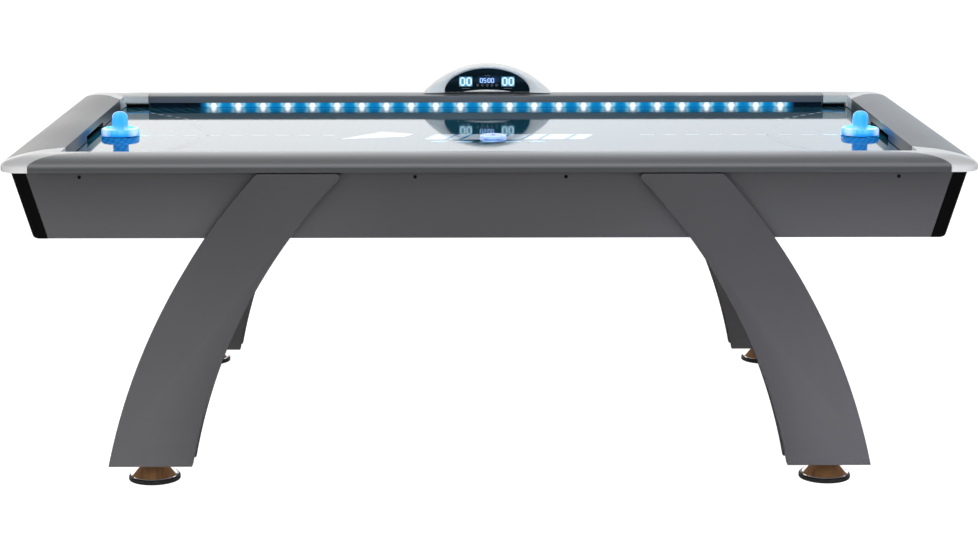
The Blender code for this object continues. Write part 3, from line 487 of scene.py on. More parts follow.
def make_materials():
    return {
        "rail_x": metal_grain("rail_aluminium_x", (0.345, 0.35, 0.365), 0.33, "X"),
        # The end rails' metal is a darker copy of the long rails' metal: painted shade on the end rails.
        "rail_y": metal_grain("rail_aluminium_shaded_y", (0.175, 0.18, 0.19), 0.36, "Y"),
        # The fascia metals are darker copies of the rail metals: painted shade on the flat outer foot of
        # each rail.
        "fascia_x": metal_grain("fascia_aluminium_shaded_x", (0.23, 0.233, 0.243), 0.36, "X"),
        "fascia_y": metal_grain("fascia_aluminium_shaded_y", (0.13, 0.134, 0.142), 0.38, "Y"),
        "cap": silver_paint("cap_silver", (0.68, 0.68, 0.68)),
        "bezel": silver_paint("bezel_silver", (0.78, 0.775, 0.77)),
        "laminate": laminate("grey_laminate", (0.060, 0.059, 0.062)),
        "leg": laminate("leg_laminate", (0.0590, 0.0572, 0.0612)),
        "black": plastic("black_plastic", (0.0013, 0.0013, 0.0014), 0.55),
        "board": raw_board("raw_board", (0.38, 0.19, 0.075)),
        "chrome": polished("chrome", (0.78, 0.78, 0.79)),
        "rubber": rubber("rubber", (0.0045, 0.0043, 0.0042)),
        "steel": metal_grain("steel", (0.42, 0.42, 0.43), 0.35, "Z"),
        "window": polished("dark_window", (0.030, 0.062, 0.084)),
        "circuit": plastic("circuit_green", (0.010, 0.075, 0.035), 0.35),
        "playfield": playfield_material(),
        "ink": print_ink("white_ink", (0.52, 0.60, 0.68)),
        "ink_blue": print_ink("pale_blue_ink", (0.20, 0.48, 0.75)),
        "ink_faint": print_ink("faint_ink", (0.14, 0.22, 0.28)),
        # This ink glows: painted light on the back corner plates.
        "ink_lit": print_ink("blue_ink_painted_glow", (0.05, 0.30, 0.72), 0.5),
        "led": led_channel_material(),
        "digit": glow("digit_white", (0.68, 0.93, 1.0), 1.05),
        "digit_glow": glow("digit_halo", (0.07, 0.36, 0.66), 0.85),
        "clock": glow("clock_blue", (0.42, 0.68, 1.0), 1.5),
        "clock_glow": glow("clock_halo", (0.0, 0.035, 0.30), 0.7),
        "icon": glow("icon_grey", (0.45, 0.50, 0.55), 0.22),
        "felt": plastic("felt_blue", (0.01, 0.03, 0.08), 0.9, 2400, 0.0003),
        "key": plastic("key_grey", (0.06, 0.065, 0.07), 0.4),
    }


# ---- mesh helpers


def link(obj):
    bpy.context.scene.collection.objects.link(obj)


def new_object(name, bm, *mats):
    mesh = bpy.data.meshes.new(name)
    bm.to_mesh(mesh)
    bm.free()
    for mat in mats:
        mesh.materials.append(mat)
    obj = bpy.data.objects.new(name, mesh)
    link(obj)
    return obj


def finish_mesh(name, bm, mats, at=(0, 0, 0), sharp=35, bevel=0.0, segments=2):
    """A new object in the scene from bm, which is in world coordinates, with its origin at the point at."""
    bmesh.ops.remove_doubles(bm, verts=bm.verts, dist=0.000005)
    bmesh.ops.recalc_face_normals(bm, faces=bm.faces)
    bmesh.ops.transform(bm, matrix=Matrix.Translation(-Vector(at)), verts=bm.verts)
    obj = new_object(name, bm, *(mats if isinstance(mats, list) else [mats]))
    obj.location = at
    if bevel:
        modifier = obj.modifiers.new("Bevel", "BEVEL")
        modifier.width, modifier.segments, modifier.limit_method = bevel, segments, "ANGLE"
        modifier.angle_limit = radians(40)
        apply_modifiers(obj)
    smooth(obj, sharp)
    return obj


def smooth(obj, sharp=35):
    obj.data.shade_smooth()
    obj.data.set_sharp_from_angle(angle=radians(sharp))


def apply_modifiers(obj):
    bpy.context.view_layer.update()
    graph = bpy.context.evaluated_depsgraph_get()
    mesh = bpy.data.meshes.new_from_object(obj.evaluated_get(graph))
    obj.modifiers.clear()
    obj.data = mesh


def boolean(obj, tool, operation="DIFFERENCE"):
    modifier = obj.modifiers.new("Cut", "BOOLEAN")
    modifier.operation, modifier.object, modifier.solver = operation, tool, "EXACT"
    apply_modifiers(obj)
    bpy.data.objects.remove(tool, do_unlink=True)
    smooth(obj)


def cut_box(obj, a, b, mats, **finish):
    bm = bmesh.new()
    add_box(bm, a, b)
    boolean(obj, finish_mesh("cutter", bm, mats["black"], **finish))


def piece(obj, body="table", replaces=()):
    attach(obj, body)
    if replaces:
        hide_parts(*replaces)
    return obj


def add_box(bm, a, b):
    a, b = Vector(a), Vector(b)
    made = bmesh.ops.create_cube(bm, size=1)["verts"]
    bmesh.ops.scale(bm, vec=[abs(v) for v in b - a], verts=made)
    bmesh.ops.translate(bm, vec=(a + b) / 2, verts=made)
    return made


def add_prism(bm, outline, a, b):
    """An outline of (x, z) points, drawn out along Y from a to b."""
    face = bm.faces.new([bm.verts.new((x, a, z)) for x, z in outline])
    made = bmesh.ops.extrude_face_region(bm, geom=[face])["geom"]
    moved = [v for v in made if isinstance(v, bmesh.types.BMVert)]
    bmesh.ops.translate(bm, vec=(0, b - a, 0), verts=moved)


def prism(name, outline, a, b, mats, **finish):
    bm = bmesh.new()
    add_prism(bm, outline, a, b)
    return finish_mesh(name, bm, mats, **finish)


def add_loft(bm, rows, looped=False):
    """Skins closed rows of vertices, then caps both ends, or joins the last row to the first."""
    for a, b in zip(rows, rows[1:] + rows[:looped]):
        for i in range(len(a)):
            j = (i + 1) % len(a)
            bm.faces.new((a[i], a[j], b[j], b[i]))
    if not looped:
        bm.faces.new(rows[0])
        bm.faces.new(rows[-1])


def add_turned(bm, profile, centre=(0, 0, 0), steps=64, axis="Z"):
    """Spins (radius, height) points about the axis through centre."""
    x, y, z = centre
    upright = axis == "Z"
    spots = [(x + r, y, z + h) if upright else (x + r, y + h, z) for r, h in profile]
    verts = [bm.verts.new(spot) for spot in spots]
    edges = [bm.edges.new(pair) for pair in zip(verts, verts[1:])]
    if profile[0][0] > 0:
        edges.append(bm.edges.new((verts[-1], verts[0])))
    turn_axis = (0, 0, 1) if upright else (0, 1, 0)
    bmesh.ops.spin(bm, geom=verts + edges, cent=centre, axis=turn_axis, angle=2 * pi, steps=steps)


def turned(name, profile, at, steps, mat, body, replaces=(), axis="Z", sharp=35):
    """A turned piece on that body."""
    bm = bmesh.new()
    add_turned(bm, profile, at, steps, axis)
    return piece(finish_mesh(name, bm, mat, at=at, sharp=sharp), body, replaces)


def smooth_profile(points):
    """A Catmull-Rom curve through (radius, height) points; a point given as (r, h, True) stays a corner."""
    steps = 5
    flat = [Vector(p[:2]) for p in points]
    corner = [len(p) > 2 for p in points]
    out = [tuple(flat[0])]
    for i in range(len(flat) - 1):
        a, b = flat[i], flat[i + 1]
        before = a if i == 0 or corner[i] else flat[i - 1]
        after = b if i + 2 >= len(flat) or corner[i + 1] else flat[i + 2]
        for k in range(1, steps + 1):
            t = k / steps
            p = 0.5 * (
                2 * a + (b - before) * t + (2 * before - 5 * a + 4 * b - after) * t**2
                + (3 * a - before - 3 * b + after) * t**3
            )
            out.append((max(p.x, 0.0), p.y))
    return out


def span(a, b):
    return min(a, b), max(a, b)


# ---- rails and caps


def dome_z(w):
    return FASCIA_TOP_Z + (CREST_Z - FASCIA_TOP_Z) * sqrt(max(0, 1 - (1 - w / CREST_W) ** 2))


def long_seam(w):
    """Distance from the corner to the seam between cap and long rail, as in the CAD."""
    reach = min(max(w / CREST_W, 0), 1)
    return CAP_OUTER + (CAP_INNER - CAP_OUTER) * (1 - sqrt(1 - reach))


def end_seam(w):
    reach = min(max(w / RAIL_W, 0), 1)
    return CAP_OUTER + (CAP_INNER - CAP_OUTER) * reach**END_SEAM_POWER


def rail_section(kind):
    """Outer and inner outlines of the rail as paired (w, z) points."""
    foot, base, e = RAIL_BASE_Z, RAIL_BASE_Z + RAIL_WALL, EDGE_ROUND
    outer = [(e, foot), (e * 0.3, foot + e * 0.3), (0, foot + e), (0, FASCIA_TOP_Z - 0.0003)]
    inner = [(RAIL_WALL, base + 0.0004 * k) for k in range(3)] + [(RAIL_WALL, FASCIA_TOP_Z - RAIL_WALL)]
    for i in range(1, DOME_POINTS + 1):
        w = CREST_W * (1 - cos(pi * i / DOME_POINTS)) / 2
        outer.append((w, dome_z(w)))
        inner.append((RAIL_WALL + w * (1 - RAIL_WALL / CREST_W), dome_z(w) - RAIL_WALL))
    r = INNER_ROUND
    slope = (CREST_Z - INNER_TOP_Z) / (RAIL_W - CREST_W)
    for k in range(5):
        turn = pi / 2 * k / 4
        outer.append((RAIL_W - r + r * sin(turn), INNER_TOP_Z + slope * r - r + r * cos(turn)))
        inner.append((RAIL_W - RAIL_WALL, INNER_TOP_Z - RAIL_WALL - 0.0002 * k))
    if kind == "long":
        outer += [(RAIL_W, LIP_Z + 0.0006), (RAIL_W - 0.0006, LIP_Z), (CHANNEL_W, LIP_Z), (CHANNEL_W, foot)]
        in_w, in_z, back = RAIL_W - RAIL_WALL, LIP_Z + RAIL_WALL, CHANNEL_W - RAIL_WALL
        inner += [(in_w, in_z + 0.0004), (in_w - 0.0004, in_z), (back, in_z), (back, base)]
    else:
        outer.append((RAIL_W, foot))
        inner.append((RAIL_W - RAIL_WALL, base))
    for w in (CREST_W, 0.95 * CREST_W, 0.75 * CREST_W, 0.35 * CREST_W):
        outer.append((w, foot))
        inner.append((w, base))
    return outer, inner


def add_hollow_sweep(bm, stations):
    rings = [[[bm.verts.new(p) for p in loop] for loop in station] for station in stations]
    count = len(rings[0][0])
    for first, second in zip(rings, rings[1:]):
        for side in (0, 1):
            for i in range(count):
                j = (i + 1) % count
                bm.faces.new((first[side][i], first[side][j], second[side][j], second[side][i]))
    for ring in (rings[0], rings[-1]):
        for i in range(count):
            j = (i + 1) % count
            bm.faces.new((ring[0][i], ring[0][j], ring[1][j], ring[1][i]))


def mark_fascia_shade(rail, axis, reach):
    """The flat outer foot of a rail takes the object's second metal, a darker copy of the rail's own:
    painted shade on the fascia.
    """
    for face in rail.data.polygons:
        if abs(face.center[axis]) > reach - EDGE_ROUND and face.center.z < FASCIA_TOP_Z:
            face.material_index = 1


def make_rail(name, mats):
    along_x = name in FACES
    sign = FACES[name] if along_x else SIDES[name]
    half, half_side = (HALF_L, HALF_W) if along_x else (HALF_W, HALF_L)
    seam = long_seam if along_x else end_seam
    stations = []
    for end in (-1, 1):
        station = []
        for loop in rail_section("long" if along_x else "end"):
            spots = [(end * (half - seam(w) - SEAM / 2), sign * (half_side - w), z) for w, z in loop]
            station.append(spots if along_x else [(across, along, z) for along, across, z in spots])
        stations.append(station)
    bm = bmesh.new()
    add_hollow_sweep(bm, stations)
    # End rails take the darker copies of both metals, painted shade.
    metals = ("rail_x", "fascia_x") if along_x else ("rail_y", "fascia_y")
    rail = finish_mesh(f"fine_rail_{name}", bm, [mats[metal] for metal in metals])
    if not along_x:
        x = span(sign * (INNER_X - 0.01), sign * SLOT_OUT_X)
        cut_box(rail, (x[0], -SLOT_Y, RAIL_BASE_Z - 0.002), (x[1], SLOT_Y, SLOT_TOP_Z), mats)
    mark_fascia_shade(rail, 1 if along_x else 0, half_side)
    piece(rail, replaces=[f"rail_{name}"])


def cap_path(w):
    radius = max(CAP_RADIUS - w, CAP_INNER_RADIUS)
    points = [(long_seam(w) - SEAM / 2, w)]
    for i in range(CAP_ARC_POINTS + 1):
        turn = pi / 2 * i / CAP_ARC_POINTS
        points.append((w + radius * (1 - sin(turn)), w + radius * (1 - cos(turn))))
    points.append((w, end_seam(w) - SEAM / 2))
    return points


def make_cap(face, side, sx, sy, mats):
    outer, inner = rail_section("end")
    back = CHANNEL_W - RAIL_WALL
    loops = (outer, [(min(w, back), z) for w, z in inner])
    paths = [[(cap_path(w), z) for w, z in loop] for loop in loops]
    stations = []
    for k in range(CAP_ARC_POINTS + 3):
        spots = [[(*path[k], z) for path, z in loop] for loop in paths]
        stations.append([[(sx * (HALF_L - x), sy * (HALF_W - y), z) for x, y, z in loop] for loop in spots])
    bm = bmesh.new()
    add_hollow_sweep(bm, stations)
    cap = finish_mesh(f"fine_cap_{face}_{side}", bm, mats["cap"])
    x = span(sx * (HALF_L - CAP_INNER - 0.01), sx * (INNER_X - 0.004))
    y = span(sy * (INNER_Y - 0.01), sy * (HALF_W - CHANNEL_W))
    cut_box(cap, (x[0], y[0], RAIL_BASE_Z - 0.002), (x[1], y[1], LIP_Z), mats)
    piece(cap, replaces=[f"corner_cap_{face}_{side}"])


# ---- cabinet


def end_face_x(z):
    return END_BASE_X + (z - APRON_BASE_Z) * END_SLOPE


def add_bolt(bm, x, y, z, sy):
    """A domed black bolt head with a socket, facing along Y."""
    r = BOLT_RADIUS
    head = [(0, 0.0004), (0.45 * r, 0.0004), (0.5 * r, 0.0016), (0.8 * r, 0.0014)]
    head += [(r, 0.0004), (r, -0.0015), (0, -0.0015)]
    add_turned(bm, [(out, sy * h) for out, h in head], (x, y, z), 24, "Y")


def make_aprons(mats):
    for face, sy in FACES.items():
        top, base = (end_face_x(z) - POST_W - GAP for z in (APRON_TOP_Z, APRON_BASE_Z))
        outline = [(-base, APRON_BASE_Z), (base, APRON_BASE_Z), (top, APRON_TOP_Z), (-top, APRON_TOP_Z)]
        y = span(sy * APRON_Y, sy * (APRON_Y - APRON_BOARD))
        apron = prism(f"fine_apron_{face}", outline, *y, mats["laminate"], bevel=0.0008)
        if face == "back":
            lo, hi = low("power_inlet"), high("power_inlet")
            corner = (lo[0] + INLET_LEDGE, APRON_Y - 0.03, lo[2] + INLET_LEDGE)
            cut_box(apron, corner, (hi[0] - INLET_LEDGE, APRON_Y + 0.01, hi[2] - INLET_LEDGE), mats)
        piece(apron, replaces=[f"apron_{face}"])
        bm = bmesh.new()
        for x in BOLT_XS:
            add_bolt(bm, x, sy * APRON_Y, BOLT_Z, sy)
        piece(finish_mesh(f"apron_bolts_{face}", bm, mats["black"]))
    for side, sx in SIDES.items():
        make_end_apron(side, sx, mats)
        make_window_trim(side, sx, mats)


def make_end_apron(side, sx, mats):
    thick = APRON_BOARD * sqrt(1 + END_SLOPE**2)
    outline = []
    for z, back in ((APRON_BASE_Z, thick), (APRON_BASE_Z, 0), (APRON_TOP_Z, 0), (APRON_TOP_Z, thick)):
        outline.append((sx * (end_face_x(z) - END_INSET - back), z))
    apron = prism(f"fine_apron_{side}", outline, GAP - POST_Y_IN, POST_Y_IN - GAP, mats["laminate"])
    x = span(sx * 1.04, sx * 1.12)
    corners = (x[0], -RETURN_Y, RETURN_Z[0]), (x[1], RETURN_Y, RETURN_Z[1])
    cut_box(apron, *corners, mats, bevel=0.006, segments=5)
    piece(apron, replaces=[f"apron_{side}"])


def make_window_trim(side, sx, mats):
    """A slim black frame round the puck window, lying on the leaning end panel."""
    bm = bmesh.new()
    z_mid, z_half, r = sum(RETURN_Z) / 2, (RETURN_Z[1] - RETURN_Z[0]) / 2, RETURN_ROUND
    section = [(0.0, -0.004), (0.0, 0.0012), (0.0015, 0.002)]
    section += [(0.007, 0.002), (0.008, 0.0006), (0.008, -0.0008)]
    rows = []
    for width, proud in section:
        row = []
        for cy, cz, start in ((1, 1, 0), (-1, 1, 90), (-1, -1, 180), (1, -1, 270)):
            for k in range(7):
                turn = radians(start + 15 * k)
                y = cy * (RETURN_Y - r) + (r + width) * cos(turn)
                z = z_mid + cz * (z_half - r) + (r + width) * sin(turn)
                row.append(bm.verts.new((sx * (end_face_x(z) - END_INSET + proud), y, z)))
        rows.append(row)
    add_loft(bm, rows, looped=True)
    piece(finish_mesh(f"return_trim_{side}", bm, mats["black"]))


def make_posts(mats):
    """Leaning corner extrusions with a rounded upright edge and a rounded lower corner."""
    for face, side, sx, sy in QUARTERS:
        bm, rows = bmesh.new(), []
        for k in range(POST_STEPS + 1):
            z = APRON_BASE_Z + (APRON_TOP_Z - APRON_BASE_Z) * (k / POST_STEPS) ** 1.6
            rise = min((z - APRON_BASE_Z) / POST_FOOT, 1)
            pull = POST_FOOT * (1 - sqrt(max(0, 1 - (1 - rise) ** 2)))
            in_x, out_x, out_y = end_face_x(z) - POST_W, end_face_x(z) - pull, APRON_Y + POST_PROUD
            plan = [(in_x, POST_Y_IN), (out_x, POST_Y_IN)]
            for i in range(POST_ROUND_STEPS + 1):
                turn = pi / 2 * i / POST_ROUND_STEPS
                x = out_x - POST_ROUND + POST_ROUND * cos(turn)
                plan.append((x, out_y - POST_ROUND + POST_ROUND * sin(turn)))
            plan.append((in_x, out_y))
            rows.append([bm.verts.new((sx * x, sy * y, z)) for x, y in plan])
        add_loft(bm, rows)
        post = finish_mesh(f"fine_post_{face}_{side}", bm, mats["black"], sharp=50)
        piece(post, replaces=[f"corner_post_{face}_{side}"])


# ---- legs and feet


def arc_x(arc, z):
    return arc[0] + sqrt(arc[2] ** 2 - (z - arc[1]) ** 2)


def rounded(a, corner, b, radius):
    """Points of the arc that rounds a corner off, on its way from a to b."""
    steps = 8
    corner = Vector(corner)
    to_a, to_b = (Vector(a) - corner).normalized(), (Vector(b) - corner).normalized()
    half = to_a.angle(to_b) / 2
    reach = radius / sin(half) * cos(half)
    start, end = corner + to_a * reach, corner + to_b * reach
    centre = corner + (to_a + to_b).normalized() * (radius / sin(half))
    middle = [start.lerp(end, i / steps) - centre for i in range(steps + 1)]
    return [tuple(centre + m.normalized() * radius) for m in middle]


def leg_outline(top_z, inset=0.0, round_top=False):
    outer = (*LEG_OUTER_ARC[:2], LEG_OUTER_ARC[2] - inset)
    inner = (*LEG_INNER_ARC[:2], LEG_INNER_ARC[2] + inset)
    heights = [LEG_BASE_Z + (top_z - LEG_BASE_Z) * i / LEG_STEPS for i in range(LEG_STEPS + 1)]
    up = [(arc_x(outer, z), z) for z in heights]
    down = [(arc_x(inner, z), z) for z in reversed(heights)]
    if not round_top:
        return up + down
    first = rounded(up[-3], up[-1], down[0], LEG_OUTER_ROUND)
    second = rounded(up[-1], down[0], down[2], LEG_INNER_ROUND)
    up = [p for p in up if p[1] < first[0][1]]
    down = [p for p in down if p[1] < second[-1][1]]
    return up + first + second + down


def mark_leg_faces(obj, painted_shade_edges):
    """The second material is a leg's bare underside; the third, black, is painted shade on the core's edge
    faces, which sit in shade behind the outer panel.
    """
    for face in obj.data.polygons:
        if face.normal.z < -0.9 and face.center.z < LEG_BASE_Z + 0.003:
            face.material_index = 1
        # Black on the core's edge faces is painted shade.
        elif painted_shade_edges and abs(face.normal.y) < 0.5:
            face.material_index = 2


def make_legs(mats):
    """Each leg's tall outer panel, and its core: an inner panel joined to a web."""
    web_out_y = LEG_PANEL_IN_Y - GAP
    looks = [mats["leg"], mats["board"], mats["black"]]
    for face, side, sx, sy in QUARTERS:

        def board(name, outline, y0, y1, looks, bevel=0.0):
            outline, y = [(sx * x, z) for x, z in outline], span(sy * y0, sy * y1)
            return prism(name, outline, *y, looks, bevel=bevel)

        tall = leg_outline(LEG_TOP_Z, round_top=True)
        panel = board(f"fine_leg_panel_{face}_{side}", tall, LEG_PANEL_IN_Y, HALF_W, looks[:2], LEG_EDGE)
        mark_leg_faces(panel, painted_shade_edges=False)
        piece(panel, replaces=[f"leg_panel_{face}_{side}"])
        short, in_y = leg_outline(LEG_CORE_TOP_Z), LEG_CORE_IN_Y
        core = board(f"fine_leg_core_{face}_{side}", short, in_y, in_y + LEG_BOARD, looks, LEG_EDGE)
        inset = leg_outline(LEG_CORE_TOP_Z, LEG_WEB_INSET)
        boolean(core, board("web", inset, in_y + LEG_BOARD / 2, web_out_y, looks), "UNION")
        mark_leg_faces(core, painted_shade_edges=True)
        piece(core, replaces=[f"leg_core_{face}_{side}"])


def make_feet(mats):
    """A chrome cone on a threaded stem, and the rubber disc under it."""
    for face, side, _, _ in QUARTERS:
        foot, pad = f"foot_{face}_{side}", f"foot_pad_{face}_{side}"
        lo, hi = low(pad), high(pad)
        at = (*centre(pad)[:2], 0)
        radius, disc_top = (hi[0] - lo[0]) / 2, hi[2]
        rim = ((0, 0.0003), (0.0545, 0.0003), (0.0562, 0.0008), (0.0572, 0.002), (0.0568, 0.0034))
        cone = [(r, disc_top + h) for r, h in (*rim, (0.0552, 0.0042), (0.0535, 0.0046))]
        top, stem_top = LEG_BASE_Z - GAP, high(foot)[2]
        cone += [(0.0275, top - 0.0022), (0.0262, top - 0.0008), (0.0245, top), (STEM_CREST, top)]
        for k in range(STEM_TURNS):
            z = top + 0.001 + (stem_top - top - 0.002) * k / STEM_TURNS
            cone += [(STEM_CREST, z), (STEM_ROOT, z + 0.0011)]
        cone += [(0.0050, stem_top - 0.0005), (0.0044, stem_top), (0, stem_top)]
        turned(f"fine_{foot}", cone, at, 72, mats["chrome"], foot, [foot])
        disc = [(0, 0), (radius - 0.002, 0), (radius - 0.0006, 0.0005), (radius, 0.0018)]
        disc += [(radius, disc_top - 0.0022), (radius - 0.0005, disc_top - 0.0008)]
        disc += [(radius - 0.0018, disc_top), (0, disc_top)]
        turned(f"fine_{pad}", disc, at, 72, mats["rubber"], foot, [pad])


# ---- playing surface


def add_ribbon(bm, points, width, z, offset=0.0):
    """A flat ribbon along a polyline in plan."""
    points = [Vector(p) for p in points]
    rails = []
    for i, p in enumerate(points):
        ahead = (points[min(i + 1, len(points) - 1)] - points[max(i - 1, 0)]).normalized()
        normal = Vector((-ahead.y, ahead.x))
        left, right = p + normal * (offset + width / 2), p + normal * (offset - width / 2)
        rails.append((bm.verts.new((left.x, left.y, z)), bm.verts.new((right.x, right.y, z))))
    for a, b in zip(rails, rails[1:]):
        bm.faces.new((a[0], a[1], b[1], b[0]))


def add_plate(bm, corners, z):
    bm.faces.new([bm.verts.new((x, y, z)) for x, y in corners])


def lift_up(bm):
    """Turns every face of a flat print to look up."""
    bm.normal_update()
    down = [f for f in bm.faces if f.normal.z < 0]
    bmesh.ops.reverse_faces(bm, faces=down)


def crease_arc(sx):
    """Points of the goal area's bowed line."""
    reach, bulge, line_x, count = 0.235, 0.062, 0.785, 28
    radius = (reach**2 + bulge**2) / (2 * bulge)
    half = asin(reach / radius)
    turns = [-half + 2 * half * i / count for i in range(count + 1)]
    return [(sx * (line_x - bulge + radius * (1 - cos(t))), PRINT_Y - 0.01 + radius * sin(t)) for t in turns]


def print_object(name, bm, mat):
    lift_up(bm)
    piece(new_object(name, bm, mat))


def make_print(mats):
    """Dashes down the middle, and at each end a bowed double line and two dashed corner lines."""
    z = SURFACE_Z + PRINT_LIFT
    bm, faint, plates = bmesh.new(), bmesh.new(), bmesh.new()
    for sx in (-1, 1):
        for i in range(DASH_COUNT):
            x = DASH_START_X - DASH_PITCH * i
            add_ribbon(bm, [(sx * x, PRINT_Y), (sx * (x - DASH_LENGTH), PRINT_Y)], DASH_WIDTH, z)
        add_ribbon(faint, crease_arc(sx), 0.0030, z)
        add_ribbon(faint, crease_arc(sx), 0.0022, z, offset=-sx * 0.016)
        for sy in (-1, 1):
            start = Vector((sx * 0.780, CORNER_Y + sy * 0.235))
            end = Vector((sx * 0.938, CORNER_Y + sy * 0.408))
            for i in range(0 if sy > 0 else 2, CORNER_DASHES):
                ends = [start.lerp(end, (i + t) / CORNER_DASHES) for t in (0.10, 0.66)]
                add_ribbon(bm, ends, 0.010, z)
            corner = Vector((sx * 0.934, CORNER_Y + sy * 0.412))
            shifted = corner + Vector((sx * 0.030, -0.014))
            # The back corner plates take the glowing ink, a painted glow; their front copies take the faint
            # ink.
            ink = plates if sy > 0 else faint
            add_ribbon(ink, [corner, corner + Vector((sx * 0.028, 0))], 0.014, z)
            add_ribbon(ink, [shifted, shifted + Vector((sx * 0.030, 0))], 0.012, z)
    print_object("print_lines", bm, mats["ink"])
    print_object("print_creases", faint, mats["ink_faint"])
    print_object("print_plates", plates, mats["ink_lit"])
    make_band(mats, z)


def make_band(mats, z):
    """A generic racing band along the middle: a split wing, then slanted blocks over a row of small ones."""
    bm, edge = bmesh.new(), bmesh.new()
    x, base, top, lean, gap = -0.165, -0.100, -0.005, 0.030, 0.008
    for width in BAND_WIDTHS:
        right = x + width - gap
        corners = [(x, base), (right, base), (right + lean, top), (x + lean, top)]
        add_plate(bm, corners, z)
        add_ribbon(edge, [corners[k] for k in (0, 3, 2, 1, 0)], 0.004, z + 0.00005)
        x += width
    for shift, lift in ((0.0, 0.00004), (0.012, 0.000032)):
        tip, crest, end = (-0.385 + shift, -0.098), (-0.275, 0.044 - 4 * shift), (-0.190, -0.002 - shift)
        add_plate(bm, [tip, (-0.215 - shift, -0.055), end, crest], z + lift)
    for i in range(5):
        a = -0.150 + 0.062 * i
        corners = [(a, -0.150), (a + 0.040, -0.150), (a + 0.052, -0.122), (a + 0.012, -0.122)]
        add_plate(edge, corners, z + 0.00003)
    print_object("print_band", bm, mats["ink"])
    print_object("print_band_edges", edge, mats["ink_blue"])


# ---- light bars


def make_light_bars(mats):
    """Lit strips with their lights, two clips, and the dark liners that carry on through the caps."""
    back_y, reach = HALF_W - CHANNEL_W - 0.0003, HALF_L - CAP_INNER - 0.002
    z0, z1 = SURFACE_Z + 0.0002, LIP_Z - 0.0002
    for face, sy in FACES.items():

        def strip_box(bm, x0, x1, behind, ahead, low_z, high_z):
            near, far = span(sy * (back_y - behind), sy * (back_y - ahead))
            return add_box(bm, (x0, near, low_z), (x1, far, high_z))

        bm = bmesh.new()
        strip_box(bm, -reach, reach, 0, 0.0016, z0, z1)
        for i in range(LED_COUNT):
            x = LED_FIRST_X + i * LED_PITCH
            made = strip_box(bm, x - 0.005, x + 0.005, 0.0014, 0.0040, z0 + 0.0025, z1 - 0.0025)
            edges = list(dict.fromkeys(e for v in made for e in v.link_edges))
            bmesh.ops.bevel(bm, geom=edges, offset=0.0008, segments=2, affect="EDGES")
        strip = finish_mesh(f"fine_led_strip_{face}", bm, mats["led"])
        strip.visible_diffuse = False
        piece(strip, replaces=[f"led_strip_{face}"])
        bm = bmesh.new()
        for x in (LED_FIRST_X - 0.073, LED_LAST_X + 0.066):
            strip_box(bm, x - 0.004, x + 0.004, 0, 0.006, z0, z1)
            strip_box(bm, x - 0.009, x + 0.009, 0, 0.003, z0 + 0.004, z1 - 0.004)
        piece(finish_mesh(f"led_clips_{face}", bm, mats["black"]))
        bm = bmesh.new()
        for x0, x1 in ((reach + 0.002, INNER_X - 0.005), (0.005 - INNER_X, -reach - 0.002)):
            strip_box(bm, x0, x1, -0.0001, 0.0012, z0, LINER_TOP_Z)
        piece(finish_mesh(f"channel_liners_{face}", bm, mats["black"], bevel=0.0003))


# ---- scoreboard


def arch_point(t):
    """Outer outline of the scoreboard, t from 0 at its left foot to 1 at its right foot."""
    rise = BOARD_TOP_Z - BOARD_BASE_Z
    radius = (BOARD_HALF_W**2 + rise**2) / (2 * rise)
    turn = asin(BOARD_HALF_W / radius) * (2 * t - 1)
    return Vector((BOARD_X + radius * sin(turn), BOARD_TOP_Z - radius + radius * cos(turn)))


def window_point(t, grow=0.0):
    turn = pi * (1 - t)
    return Vector((BOARD_X + (WINDOW_A + grow) * cos(turn), WINDOW_BASE_Z + (WINDOW_B + grow) * sin(turn)))


def make_scoreboard_housing(mats):
    """A lofted bezel: a soft outer shoulder, a gentle crown, and a lip that falls in to the window."""
    front, back = BOARD_FRONT_Y, BOARD_BACK_Y
    section = [(0.0, back - 0.002), (0.0, front + 0.016), (0.02, front + 0.0095), (0.07, front + 0.0045)]
    section += [(0.17, front + 0.0015), (0.32, front + 0.0002), (0.55, front), (0.78, front + 0.0008)]
    section += [(0.92, front + 0.0022), (0.985, front + 0.0040), (1.0, DISPLAY_FRONT_Y + 0.0005)]
    section += [(1.0, DISPLAY_FRONT_Y + 0.004), (0.96, back - 0.002), (0.5, back), (0.03, back)]
    count, rows = 72, []
    bm = bmesh.new()
    for k in range(count + 1):
        a, b = arch_point(k / count), window_point(k / count)
        spots = [(a.lerp(b, u), y) for u, y in section]
        rows.append([bm.verts.new((p.x, y, max(p.y, BOARD_BASE_Z))) for p, y in spots])
    add_loft(bm, rows)
    housing = finish_mesh("fine_scoreboard_housing", bm, mats["bezel"], sharp=40)
    piece(housing, replaces=["scoreboard_housing"])
    outline = [tuple(window_point(k / 40, 0.004)) for k in range(41)]
    plate = prism("scoreboard_back", outline, back - 0.006, back - 0.0005, mats["black"], bevel=0.0008)
    piece(plate)
    make_crescent(mats)


